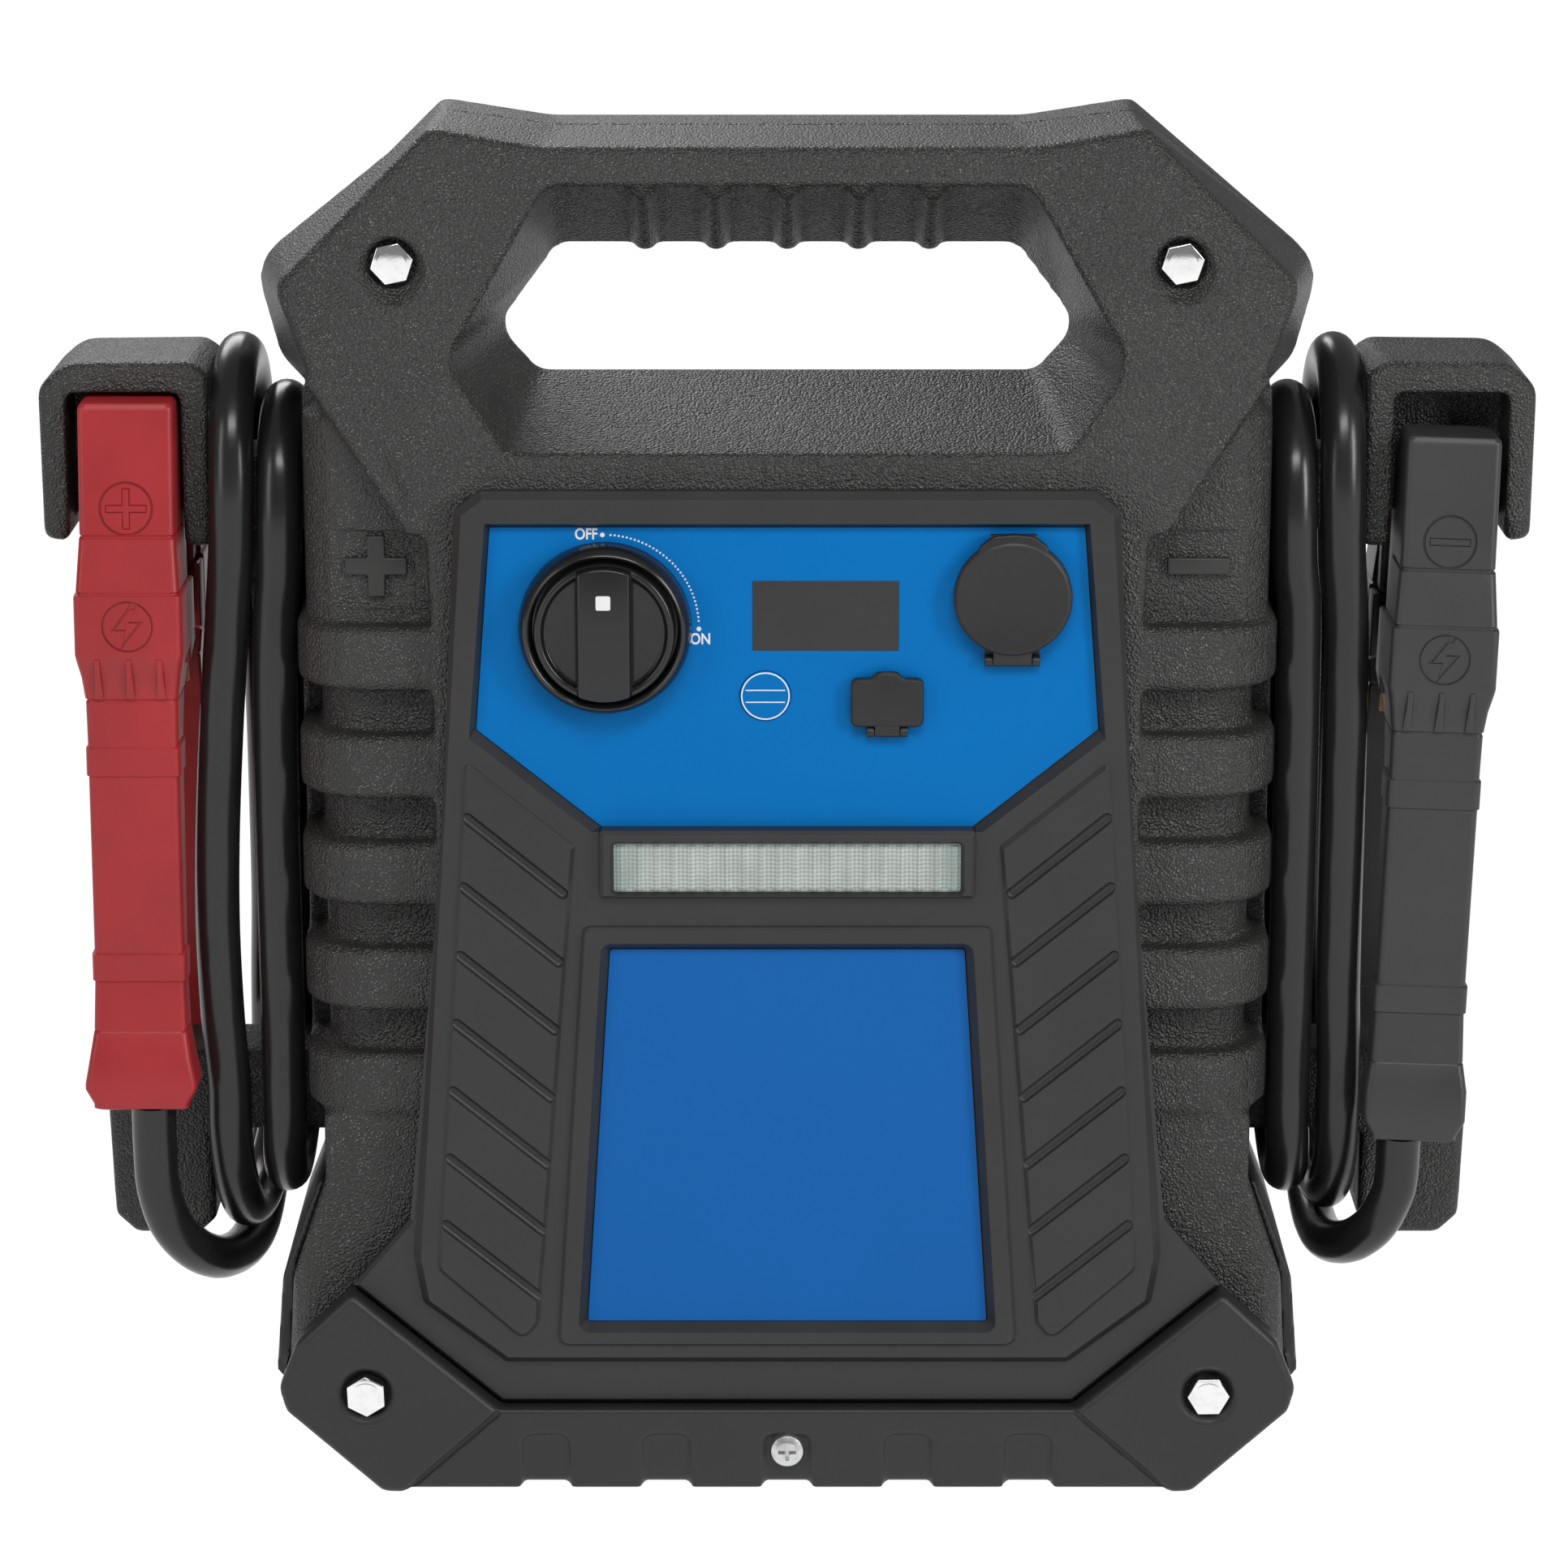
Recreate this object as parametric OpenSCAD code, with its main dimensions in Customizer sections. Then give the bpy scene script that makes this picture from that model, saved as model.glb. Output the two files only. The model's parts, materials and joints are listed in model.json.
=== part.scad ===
// Portable jump starter pack with a built-in tyre compressor.
// Millimetres. X to the right, Y to the back, Z up. Y = 0 is the parting plane of the two shells,
// and the rubber feet stand on Z = 0.

/* [Housing] */
// Half width over the rib bands
band_half_w = 130; // [129:0.5:131]
// How far the front face stands before the parting plane
face_y = 54; // [53:0.5:55]
// How far the column faces stand before the parting plane
column_y = 46; // [44:0.5:48]
// How far the rib bands stand before the parting plane
band_y = 53; // [51:0.5:53.5]
// Backward slope of the carry frame, per millimetre of height
frame_lean = 0.23; // [0.18:0.01:0.26]
// Wall of the shells
wall = 3; // [2.5:0.1:3.5]

/* [Rib bands] */
// Number of bands on each column
band_count = 5; // [3:1:5]
// Height of a band
band_h = 17.5; // [14:0.5:20]
// Distance from one band to the next
band_pitch = 29.3; // [28:0.1:29.5]
// Height of the top edge of the highest band
band_top = 240.2; // [236:0.2:242]

/* [Front panel] */
// Front of the raised bezel
bezel_y = 61; // [60.5:0.1:61.5]
// Seat of the control label
label_y = 58; // [57.5:0.1:58]
// Number of grooves in each side panel
groove_count = 7; // [4:1:7]
// Distance from one groove to the next
groove_pitch = 18.85; // [16:0.05:18.9]
// Centre of the rotary switch, left of the middle
knob_x = 47.4; // [46:0.1:48]
// Height of the rotary switch
knob_z = 242; // [241:0.5:243]
// Centre of the 12 volt socket, right of the middle
socket_x = 58.6; // [58:0.1:59]
// Height of the 12 volt socket
socket_z = 250.4; // [250:0.1:251]
// Radius of the 12 volt socket's bore
socket_r = 10.7; // [10.6:0.05:10.75]

/* [Bumper] */
// Front of the corner plates
plate_y = 64; // [63:0.5:65]
// Height of the rubber feet
foot_h = 2.5; // [2:0.5:3]

/* [Cables and clamps] */
// Diameter of the starting cables
cable_d = 12; // [11:0.5:12]
// Sides of the cable tube
cable_sides = 8; // [8:1:10]
// Height of the red clamp's pivot
red_pivot_z = 236; // [235:0.5:236.5]
// Height of the black clamp's pivot
black_pivot_z = 227; // [226:0.5:228]
// Lean of the black clamp towards the body
black_lean = 2; // [0:0.5:2]

/* [Hidden] */
fine = 64;
eps = 0.01;

// ---- outlines ------------------------------------------------------------------------------
// An outline is a list of [x, z, corner radius], clockwise as seen from the front.

function unit(v) = v / norm(v);
function right_of(a, b) = let (d = unit(b - a)) [d.y, -d.x];

function arc_corner(a, b, c, r, n) =
    let (u = unit(a - b), v = unit(c - b),
         half = acos(u * v) / 2,
         centre = b + unit(u + v) * (r / sin(half)),
         start = b + u * (r / tan(half)) - centre,
         end = b + v * (r / tan(half)) - centre,
         from = atan2(start.y, start.x),
         sweep = atan2(cross(start, end), start * end))
    [for (i = [0:n]) centre + r * [cos(from + sweep * i / n), sin(from + sweep * i / n)]];

function rounded(pts, n = 3) =
    [for (i = [0:len(pts) - 1])
        let (a = pts[(i + len(pts) - 1) % len(pts)], b = pts[i], c = pts[(i + 1) % len(pts)])
        each b[2] > 0
            ? arc_corner([a.x, a.y], [b.x, b.y], [c.x, c.y], b[2], n)
            : [[b.x, b.y]]];

function both_sides(half) =
    concat(half, [for (i = [len(half) - 1:-1:0]) [-half[i].x, half[i].y, half[i][2]]]);

function inset(pts, d) =
    [for (i = [0:len(pts) - 1])
        let (a = pts[(i + len(pts) - 1) % len(pts)], b = pts[i], c = pts[(i + 1) % len(pts)],
             n1 = right_of(a, b), n2 = right_of(b, c))
        b + d * (n1 + n2) / (1 + n1 * n2)];

// The same outline drawn in by d, still as [x, z, corner radius]
function shrunk(shape, d) =
    [for (i = [0:len(shape) - 1])
        let (n = len(shape), a = shape[(i + n - 1) % n], b = shape[i], c = shape[(i + 1) % n],
             n1 = right_of([a.x, a.y], [b.x, b.y]), n2 = right_of([b.x, b.y], [c.x, c.y]),
             p = [b.x, b.y] + d * (n1 + n2) / (1 + n1 * n2),
             convex = cross(n1, n2) < 0)
        [p.x, p.y, b[2] == 0 ? 0 : convex ? max(b[2] - d, 0.1) : b[2] + d]];

function at_y(pts, y) = [for (p = pts) [p.x, y, p.y]];
function at_z(pts, z) = [for (p = pts) [p.x, p.y, z]];

// Triangles that fill a simple clockwise outline, cut off ear by ear
function turn(a, b, c) = cross(b - a, c - b);
function is_ear(pts, ids, i) =
    let (n = len(ids), ia = ids[(i + n - 1) % n], ib = ids[i], ic = ids[(i + 1) % n],
         a = pts[ia], b = pts[ib], c = pts[ic])
    turn(a, b, c) < -1e-7
        && len([for (j = ids) if (j != ia && j != ib && j != ic && turn(a, b, pts[j]) <= 0
                                  && turn(b, c, pts[j]) <= 0 && turn(c, a, pts[j]) <= 0) j]) == 0;
function first_ear(pts, ids, i) = i >= len(ids) - 1 || is_ear(pts, ids, i) ? i : first_ear(pts, ids, i + 1);
function fill(pts, ids) =
    len(ids) == 3 ? [ids]
        : let (n = len(ids), i = first_ear(pts, ids, 0))
          concat([[ids[(i + n - 1) % n], ids[i], ids[(i + 1) % n]]],
                 fill(pts, [for (k = [0:n - 1]) if (k != i) ids[k]]));
function all_of(pts) = [for (i = [0:len(pts) - 1]) i];

// Closed skin through rings of equal length. The first ring is the one that faces the viewer.
// flat holds the outlines of the first and the last ring where they aren't convex.
module skin(rings, flat = []) {
    n = len(rings[0]);
    last = (len(rings) - 1) * n;
    sides = [for (k = [0:len(rings) - 2], i = [0:n - 1])
        let (j = (i + 1) % n)
        each [[k * n + i, (k + 1) * n + i, (k + 1) * n + j], [k * n + i, (k + 1) * n + j, k * n + j]]];
    caps = len(flat) == 0
        ? [[for (i = [0:n - 1]) i], [for (i = [n - 1:-1:0]) last + i]]
        : concat(fill(flat[0], all_of(flat[0])),
                 [for (t = fill(flat[1], all_of(flat[1]))) [last + t[2], last + t[1], last + t[0]]]);
    polyhedron([for (r = rings) each r], concat(caps, sides));
}

// Prism of an outline, from y0 at the front to y1 at the back
module slab(pts, y0, y1) {
    translate([0, y1, 0]) rotate([90, 0, 0]) linear_extrude(y1 - y0) polygon(pts);
}

// The same with its front edge bevelled
module bevelled_slab(shape, y0, y1, bevel = 1.2) {
    pts = rounded(shape);
    top = rounded(shrunk(shape, bevel));
    skin([at_y(top, y0), at_y(pts, y0 + bevel), at_y(pts, y1)], [top, pts]);
}

module block(x0, x1, y0, y1, z0, z1) {
    translate([x0, y0, z0]) cube([x1 - x0, y1 - y0, z1 - z0]);
}

// Cylinder along Y that starts at y0 and ends at y1
module rod_y(x, z, r, y0, y1) {
    translate([x, y1, z]) rotate([90, 0, 0]) cylinder(r = r, h = y1 - y0, $fn = fine);
}

// Cone along Y, radius r0 at y0 and r1 at y1
module cone_y(x, z, r0, r1, y0, y1) {
    translate([x, y1, z]) rotate([90, 0, 0]) cylinder(r1 = r1, r2 = r0, h = y1 - y0, $fn = fine);
}

module rod_x(y, z, r, x0, x1) {
    translate([x0, y, z]) rotate([0, 90, 0]) cylinder(r = r, h = x1 - x0, $fn = fine);
}

module mirrored_x() {
    children();
    mirror([1, 0, 0]) children();
}

module hexagon(across_flats, h, turn = 0) {
    rotate([0, 0, turn]) cylinder(d = across_flats / cos(30), h = h, $fn = 6);
}

// Round bar from a to b
module bar(a, b, r) {
    d = b - a;
    translate(a) rotate([0, acos(d.z / norm(d)), atan2(d.y, d.x)])
        cylinder(r = r, h = norm(d), $fn = 32);
}

// ---- swept tubes ---------------------------------------------------------------------------

function run_direction(r, i) =
    i == 0 ? unit(r[1] - r[0]) : i == len(r) - 1 ? unit(r[i] - r[i - 1])
           : unit(unit(r[i + 1] - r[i]) + unit(r[i] - r[i - 1]));

// Ring of n points about p, square to direction d; side is a vector never parallel to d
function ring(p, d, side, radius, n) =
    let (w = unit(cross(d, side)), v = cross(d, w))
    [for (k = [0:n - 1]) p + radius * (cos(360 * k / n) * w + sin(360 * k / n) * v)];

module tube(r, radius, n, side = [1, 0, 0]) {
    skin([for (i = [0:len(r) - 1]) ring(r[i], run_direction(r, i), side, radius, n)]);
}

// ---- shells --------------------------------------------------------------------------------

frame_foot = 276;
function frame_plane(z) = -face_y + (z - frame_foot) * frame_lean;

frame_front = rounded(both_sides([[64, 363.6, 25], [93.3, 368.3, 3], [133.3, 328.5, 5],
    [124.2, 305.8, 4], [104.6, 285.2, 5], [99.5, frame_foot, 0]]));
frame_mid = rounded(both_sides([[60, 365.3, 25], [91.5, 369.3, 4], [142.6, 328.5, 12],
    [136, 303.5, 10], [121, 287, 5], [110, frame_foot, 0]]));
funnel_front = rounded(both_sides([[63, 354.5, 6], [88, 311.5, 8], [86.5, 305, 8], [73.5, 286, 5]]));
funnel_mid = rounded(both_sides([[61.3, 333, 6], [75.4, 314, 6], [74.6, 308.5, 6], [66.5, 299.5, 6]]));
centre_half = [[99.5, frame_foot + eps, 0], [94, 265, 4], [93, 236, 0], [93, 90, 0]];
base_half = [[124.5, 106, 0], [124.5, 87, 0], [134.3, 58, 10], [136.2, 31, 4], [107, 6, 3]];
bolt_x = 102.6;
bolt_z = 334;
low_bolt_x = 113.8;
low_bolt_z = 30;
finger_ribs = 5;

function on_plane(pts, ahead = 0) = [for (p = pts) [p.x, frame_plane(p.y) - ahead, p.y]];

module frame_half() {
    difference() {
        skin([on_plane(inset(frame_front, 1.4)), on_plane(frame_front, -1.4), at_y(frame_mid, 0)],
             [inset(frame_front, 1.4), frame_mid]);
        skin([on_plane(funnel_front, 20), on_plane(funnel_front, 0.6), at_y(funnel_mid, 0.5),
              at_y(funnel_mid, 3)]);
        mirrored_x() {
            rod_y(bolt_x, bolt_z, 2.7, -60, 1);
            rod_y(bolt_x, bolt_z, 6.4, -60, -35.2);
            cone_y(bolt_x, bolt_z, 12.9, 6.4, -46, -38.2);
        }
    }
    grip_ribs();
}

// Half-round ribs across the underside of the grip
module grip_ribs() {
    for (i = [0:finger_ribs - 1]) {
        x = (i - (finger_ribs - 1) / 2) * 18.9;
        bar([x, -1.8, 336.3], [x, -33, 355], 3);
    }
}

function band_plan(grow = 0) =
    rounded([[90, 0, 0], [band_half_w - grow, 0, 0], [band_half_w - grow, -(band_y - grow), 19],
             [90, -(band_y - grow), 0]], 5);

module bands() {
    for (i = [0:band_count - 1]) {
        top = band_top - i * band_pitch;
        skin([at_z(band_plan(1.6), top), at_z(band_plan(), top - 1.6),
              at_z(band_plan(), top - band_h + 1.6), at_z(band_plan(1.6), top - band_h)]);
    }
}

module column_half() {
    lower = rounded([[88, 0, 0], [124, 0, 0], [124, -column_y, 14], [88, -column_y, 0]], 4);
    upper = rounded([[88, 0, 0], [127.5, 0, 0], [127.5, -column_y, 12], [88, -column_y, 0]], 4);
    translate([0, 0, 86]) linear_extrude(154.5) polygon(lower);
    translate([0, 0, 239]) linear_extrude(55) polygon(upper);
    block(118, band_half_w - eps, -22, 0, 101, 240);
    bands();
}

module centre_solid() {
    slab(rounded(both_sides(centre_half)), -face_y, 0);
    intersection() {
        slab(rounded(both_sides(base_half)), -52, 0);
        translate([0, 0, 5]) linear_extrude(105)
            polygon(rounded([[-137, 1, 0], [137, 1, 0], [137, -52, 12], [-137, -52, 12]], 4));
    }
}

// Plus and minus pads on the columns
pad = [98, 121, 244, 264.7];
sign_w = 4.5;

module sign(plus) {
    cx = (pad[0] + pad[1]) / 2 - 1.8;
    cz = (pad[2] + pad[3]) / 2 + 1;
    block(cx - 8, cx + 8, -column_y - 0.5, -column_y + 1, cz - sign_w / 2, cz + sign_w / 2);
    if (plus) block(cx - sign_w / 2, cx + sign_w / 2, -column_y - 0.5, -column_y + 1, cz - 8.2, cz + 8.2);
}

module housing_half() {
    frame_half();
    mirrored_x() column_half();
    centre_solid();
}

module cavity_half() {
    column = rounded([[80, 1, 0], [121, 1, 0], [121, -column_y + wall, 11], [80, -column_y + wall, 0]], 4);
    mirrored_x() {
        translate([0, 0, 86]) linear_extrude(200) polygon(column);
    }
    slab(rounded(shrunk(both_sides(base_half), 3.3)), -46, 1);
    block(-88, 88, -face_y + wall, 1, 12, 262);
    slab([[84, 258], [-84, 258], [-70, 281], [70, 281]], -face_y + wall + 3, 1);
}

module arm_windows() {
    mirrored_x() {
        block(117, 132, -arm_y - 0.2, 1, 257.8, 278.2);
        block(117, 132, -hook_y - 0.2, 1, 87.8, 111.7);
    }
}

module front_shell() {
    color("#3a3938") {
        difference() {
            housing_half();
            cavity_half();
            arm_windows();
            block(-78, 78, -face_y - 1, -face_y + wall + 1, 166, 262);
            rod_y(socket_x, socket_z, 12.8, -face_y - 1, -face_y + wall + 4);
            mirrored_x() {
                rod_y(low_bolt_x, low_bolt_z, 2.5, -53, -40);
                block(pad[0], pad[1], -column_y - 1, -column_y + 0.8, pad[2], pad[3]);
            }
            rod_y(0, 13.5, 1.8, -55, -42);
        }
        mirror([1, 0, 0]) sign(true);
        sign(false);
        mirrored_x() difference() {
            rod_y(low_bolt_x, low_bolt_z, 6, -50, -38);
            rod_y(low_bolt_x, low_bolt_z, 2.5, -53, -36);
        }
    }
}

module rear_shell() {
    color("#3a3938") mirror([0, 1, 0]) {
        difference() {
            housing_half();
            cavity_half();
            arm_windows();
            block(-70, 70, -face_y - 1, -face_y + wall + 1, 175, 262);
            for (z = panel_screw_z) mirrored_x() rod_y(panel_screw_x, z, 1.8, -55, -42);
            mirrored_x() rod_y(low_bolt_x, low_bolt_z, 2.5, -53, -40);
            rod_y(0, 13.5, 1.8, -55, -42);
        }
        mirrored_x() difference() {
            rod_y(low_bolt_x, low_bolt_z, 6, -50, -38);
            rod_y(low_bolt_x, low_bolt_z, 2.5, -53, -36);
        }
    }
}

// ---- front bezel ---------------------------------------------------------------------------

rim_half = [[79.6, 278, 1.5], [86.3, 272.8, 2], [90.6, 191.5, 0], [100.4, 68, 3], [98.2, 55, 3],
            [76, 37.8, 3]];
seat_half = [[79.2, 277.5, 1], [85.8, 272.4, 2], [90.2, 191.5, 0], [101.4, 78, 2],
             [116.9, 59.4, 0.5], [77.4, 25.6, 0.5]];
label_half = [[77.1, 268.4, 0], [81.4, 214.4, 0], [48.9, 188.1, 0]];
label_bevel_half = [[78.3, 269.8, 0], [83.2, 212.4, 0], [51.4, 187.2, 0]];
louvre = [[55.9, 183.2, 1], [84.4, 206.6, 1], [93.8, 65, 3], [71, 44.5, 3], [66.9, 50, 2]];
plaque_half = [[46.9, 154.6, 0.6], [53.8, 49.8, 0.6]];
border_half = [[54, 161.3, 2], [62, 43.4, 3]];
light_half = [[49.4, 188.1, 1], [49.4, 169.5, 1]];
groove_slope = 39.5;
groove_top = 191.7;

module groove(i) {
    z = groove_top - i * groove_pitch;
    x = 84.6 + (groove_top - z) * 0.066;
    translate([x, -bezel_y - 1.2, z]) rotate([0, -groove_slope, 0]) rotate([90, 0, -90])
        linear_extrude(34) polygon([[1, -1.7], [1, 1.7], [-1.5, 0]]);
}

module front_bezel() {
    color("#302f2f") difference() {
        union() {
            bevelled_slab(both_sides(seat_half), -face_y - 4, -face_y, 1);
            bevelled_slab(both_sides(rim_half), -bezel_y, -face_y - 2, 2);
            mirrored_x() difference() {
                bevelled_slab(louvre, -bezel_y - 1.2, -bezel_y + 1, 1);
                for (i = [0:groove_count - 1]) groove(i);
            }
            bevelled_slab(both_sides(border_half), -bezel_y - 1.4, -bezel_y + 1, 0.8);
        }
        skin([at_y(rounded(both_sides(label_bevel_half)), -bezel_y - eps),
              at_y(rounded(both_sides(label_half)), -label_y)]);
        skin([at_y(inset(rounded(both_sides(plaque_half)), -2.4), -bezel_y - 1.4 - eps),
              at_y(rounded(both_sides(plaque_half)), -59)]);
        slab(inset(rounded(both_sides(light_half)), -0.1), -bezel_y - 2, -face_y + 1);
        rod_y(-knob_x, knob_z, 9, -60, -face_y + 1);
        rod_y(socket_x, socket_z, 12.7, -60, -face_y + 1);
        rod_y(-5.7, 223.5, 6.7, -60, -face_y + 1);
        block(-9, 29.1, -60, -face_y + 1, 235.6, 254.2);
        block(18.4, 33.8, -60, -face_y + 1, 217.8, 226.4);
    }
}

module control_label() {
    color("#0070ba") difference() {
        slab(rounded(both_sides(label_half)), -label_y - 0.5, -label_y);
        rod_y(-knob_x, knob_z, 9.5, -60, -50);
        rod_y(socket_x, socket_z, 12.8, -60, -50);
        rod_y(-5.7, 223.5, 6.75, -60, -50);
        block(-9, 29.1, -60, -50, 235.6, 254.2);
        block(18.3, 33.9, -60, -50, 217.7, 226.5);
    }
}

module plaque_label() {
    color("#2163b3") slab(rounded(both_sides(plaque_half)), -59.5, -59);
}

module display_window() {
    color("#3b3a39") difference() {
        block(-9, 29.1, -label_y - 0.7, -label_y + 1, 235.6, 254.2);
        block(-7, 27.1, -label_y + 0.2, -label_y + 2, 237.6, 252.2);
    }
}

module control_board() {
    color("#1f5a36") {
        block(-22, 43, -48, -46.4, 205, 262);
        block(-8.5, 28.6, -label_y + 1, -48, 236, 253.8);
        block(-9.2, -2.2, -52, -48, 220, 227);
    }
}

// ---- controls ------------------------------------------------------------------------------

control_y = label_y + 0.5;

module test_button() {
    color("#0070ba") {
        rod_y(-5.7, 223.5, 6.62, -control_y - 0.6, -55);
        rod_y(-5.7, 223.5, 2.2, -55, -53);
    }
}

// Ring that the knob turns in: a turned profile of [radius, height]
module knob_ring() {
    color("#1c1c1d") translate([-knob_x, -control_y, knob_z]) rotate([90, 0, 0])
        rotate_extrude($fn = 96) polygon([[14.6, 0], [22.6, 0], [22.4, 3.4], [21.2, 7], [20.2, 7.6],
            [19.4, 7], [18.9, 1.8], [14.6, 1.8]]);
}

module power_knob() {
    color("#1c1c1d") translate([-knob_x, -control_y, knob_z]) rotate([90, 0, 0]) {
        rotate_extrude($fn = 96) polygon([[0, 2.2], [18.4, 2.2], [18.4, 7.8], [17.5, 8.6],
            [16.7, 8.6], [16.1, 7], [0, 7]]);
        intersection() {
            rotate([90, 0, 0]) translate([0, 0, -19]) linear_extrude(38)
                polygon([[-8, 6], [8, 6], [7.4, 11.5], [-7.4, 11.5]]);
            rotate_extrude($fn = 96) polygon([[0, 5], [18.4, 5], [18.4, 9], [17.6, 10.6],
                [16.8, 11.5], [0, 11.5]]);
        }
        translate([0, 0, -15]) cylinder(r = 4, h = 18, $fn = fine);
    }
}

module power_switch() {
    color("#8c3a2a") difference() {
        union() {
            rod_y(-knob_x, knob_z, 8.6, -57, -45);
            block(-knob_x - 22, -knob_x + 22, -50.9, -24, knob_z - 22, knob_z + 20);
        }
        rod_y(-knob_x, knob_z, 4.06, -60, -42);
    }
    color("silver") for (s = [-1, 1]) rod_y(-knob_x + s * 12, knob_z, 4, -24, -14);
}

hinge_r = 1.4;
hinge_y = control_y + 1.8;
socket_hinge_z = 233.2;

// Two lugs and a pin that carry a cap's knuckle
module hinge_lugs(x, z, half_w, pin_r) {
    block(x - half_w - 2, x + half_w + 2, -control_y - 0.3, -control_y, z - hinge_r, z + 5);
    for (s = [-1, 1]) {
        block(x + s * (half_w + 1) - 1, x + s * (half_w + 1) + 1, -hinge_y, -control_y, z - hinge_r,
              z + hinge_r);
        rod_x(-hinge_y, z, hinge_r, x + s * (half_w + 1) - 1, x + s * (half_w + 1) + 1);
    }
    rod_x(-hinge_y, z, pin_r, x - half_w - 1, x + half_w + 1);
}

socket_depth = 38;

module power_socket() {
    color("#262626") {
        difference() {
            union() {
                rod_y(socket_x, socket_z, 12.6, -control_y, -control_y + socket_depth + 4);
                rod_y(socket_x, socket_z, 14.4, -control_y - 1.2, -control_y);
            }
            rod_y(socket_x, socket_z, 11.5, -control_y - 2, -control_y + 0.8);
            rod_y(socket_x, socket_z, socket_r, -control_y, -control_y + socket_depth);
            rod_y(socket_x, socket_z, 4.5, -control_y + socket_depth - 1, -control_y + socket_depth + 1);
        }
        hinge_lugs(socket_x, socket_hinge_z, 5.2, 0.7);
    }
    color("#c9a548") rod_y(socket_x, socket_z, 4, -control_y + socket_depth + 0.4,
                           -control_y + socket_depth + 2);
}

module socket_cap() {
    color("#2f2e2e") difference() {
        union() {
            translate([socket_x, -control_y - 1.3, socket_z]) rotate([90, 0, 0])
                rotate_extrude($fn = 96) polygon([[0, 0], [15.4, 0], [15.4, 2.4], [14.4, 3.4],
                    [13.6, 3.6], [0, 3.6]]);
            rod_y(socket_x, socket_z, 9.8, -control_y - 1.4, -control_y + 0.3);
            block(socket_x - 5, socket_x + 5, -control_y - 3.4, -control_y - 1.4, socket_hinge_z,
                  socket_z - 12);
            rod_x(-hinge_y, socket_hinge_z, hinge_r, socket_x - 5, socket_x + 5);
            block(socket_x - 6, socket_x + 6, -control_y - 3.2, -control_y - 1.3, socket_z + 12,
                  socket_z + 16.6);
        }
        rod_x(-hinge_y, socket_hinge_z, 0.75, socket_x - 7, socket_x + 7);
    }
}

usb_x = 26.1;
usb_z = 222.1;
usb_hinge_z = 214.2;

module usb_port() {
    color("#262626") {
        difference() {
            union() {
                block(usb_x - 8.8, usb_x + 8.8, -control_y - 0.9, -control_y, usb_z - 5.4, usb_z + 5.4);
                block(usb_x - 7.6, usb_x + 7.6, -control_y - 0.5, -48, usb_z - 4.2, usb_z + 4.2);
            }
            block(usb_x - 6.6, usb_x + 6.6, -control_y - 2, -49, usb_z - 2.9, usb_z + 2.9);
        }
        hinge_lugs(usb_x, usb_hinge_z, 3.4, 0.6);
    }
    color("white") block(usb_x - 5.6, usb_x + 5.6, -53.6, -49, usb_z + 0.4, usb_z + 2.2);
}

module usb_cap() {
    outline = [[-9.5, 6.6, 1.8], [-4, 6.6, 0.6], [-2.6, 8.2, 0.8], [2.6, 8.2, 0.8],
        [4, 6.6, 0.6], [9.5, 6.6, 1.8], [9.5, -6.4, 1.8], [-9.5, -6.4, 1.8]];
    color("#2f2e2e") difference() {
        union() {
            translate([usb_x, 0, usb_z]) bevelled_slab(outline, -control_y - 3.4, -control_y - 1, 0.6);
            block(usb_x - 6.2, usb_x + 6.2, -control_y - 1.1, -control_y + 0.4, usb_z - 2.5, usb_z + 2.5);
            block(usb_x - 3.2, usb_x + 3.2, -control_y - 3.2, -control_y - 1.2, usb_hinge_z, usb_z - 5);
            rod_x(-hinge_y, usb_hinge_z, hinge_r, usb_x - 3.2, usb_x + 3.2);
        }
        rod_x(-hinge_y, usb_hinge_z, 0.65, usb_x - 6, usb_x + 6);
    }
}

// ---- work light ----------------------------------------------------------------------------

lens_half = [[45.6, 184.4, 0.8], [45.6, 171.2, 0.8]];
light_front = bezel_y + 3;

module light_frame() {
    color("#262626") difference() {
        bevelled_slab(both_sides(light_half), -light_front, -55, 1.2);
        skin([at_y(inset(rounded(both_sides(lens_half)), -1), -light_front - eps),
              at_y(inset(rounded(both_sides(lens_half)), -0.05), -light_front + 1.4),
              at_y(inset(rounded(both_sides(lens_half)), -0.05), -59)]);
        block(-44.6, 44.6, -60, -54, 172.2, 183.4);
    }
}

// Lens with a field of shallow ridges on its face
module light_lens() {
    color("#b9c2ba", 0.6) {
        slab(rounded(both_sides(lens_half)), -light_front + 1.8, -59);
        for (i = [0:19])
            translate([-43.7 + i * 4.6, -light_front + 1.8, 171.9]) linear_extrude(11.8)
                polygon([[-2.1, 0.2], [0, -0.9], [2.1, 0.2]]);
    }
}

module light_board() {
    color("#e8e6df") block(-44.5, 44.5, -57, -55.4, 172.3, 183.3);
    color("#f6f1c8") for (i = [0:9]) rod_y(-38.7 + i * 8.6, 177.8, 2.5, -58.8, -57);
}

// ---- bumper --------------------------------------------------------------------------------

corner_plate = [[77.6, 24.9, 1], [117.2, 59, 2], [132.4, 44.6, 4], [137.4, 31.6, 5],
                [135.6, 25, 4], [109.8, 1.6, 3.5], [103.8, 1.4, 3.5]];
rail = [[125.85, 83, 0], [127.4, 82.8, 1], [138, 55, 8], [140.3, 27.2, 4], [109, 1.4, 4],
        [70, 2.5, 0], [70, 6, 0], [107, 6, 3], [136.2, 31, 4], [134.3, 58, 10]];
strip_half = [[77.4, 24.6, 0], [117, 58.4, 2], [131.9, 44.4, 4], [136.9, 31.6, 5],
              [135.1, 25.3, 4], [109.6, 2.3, 3], [104.6, 2.9, 0]];
notch_pitch = 32.7;
notch_w = 13.4;

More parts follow.
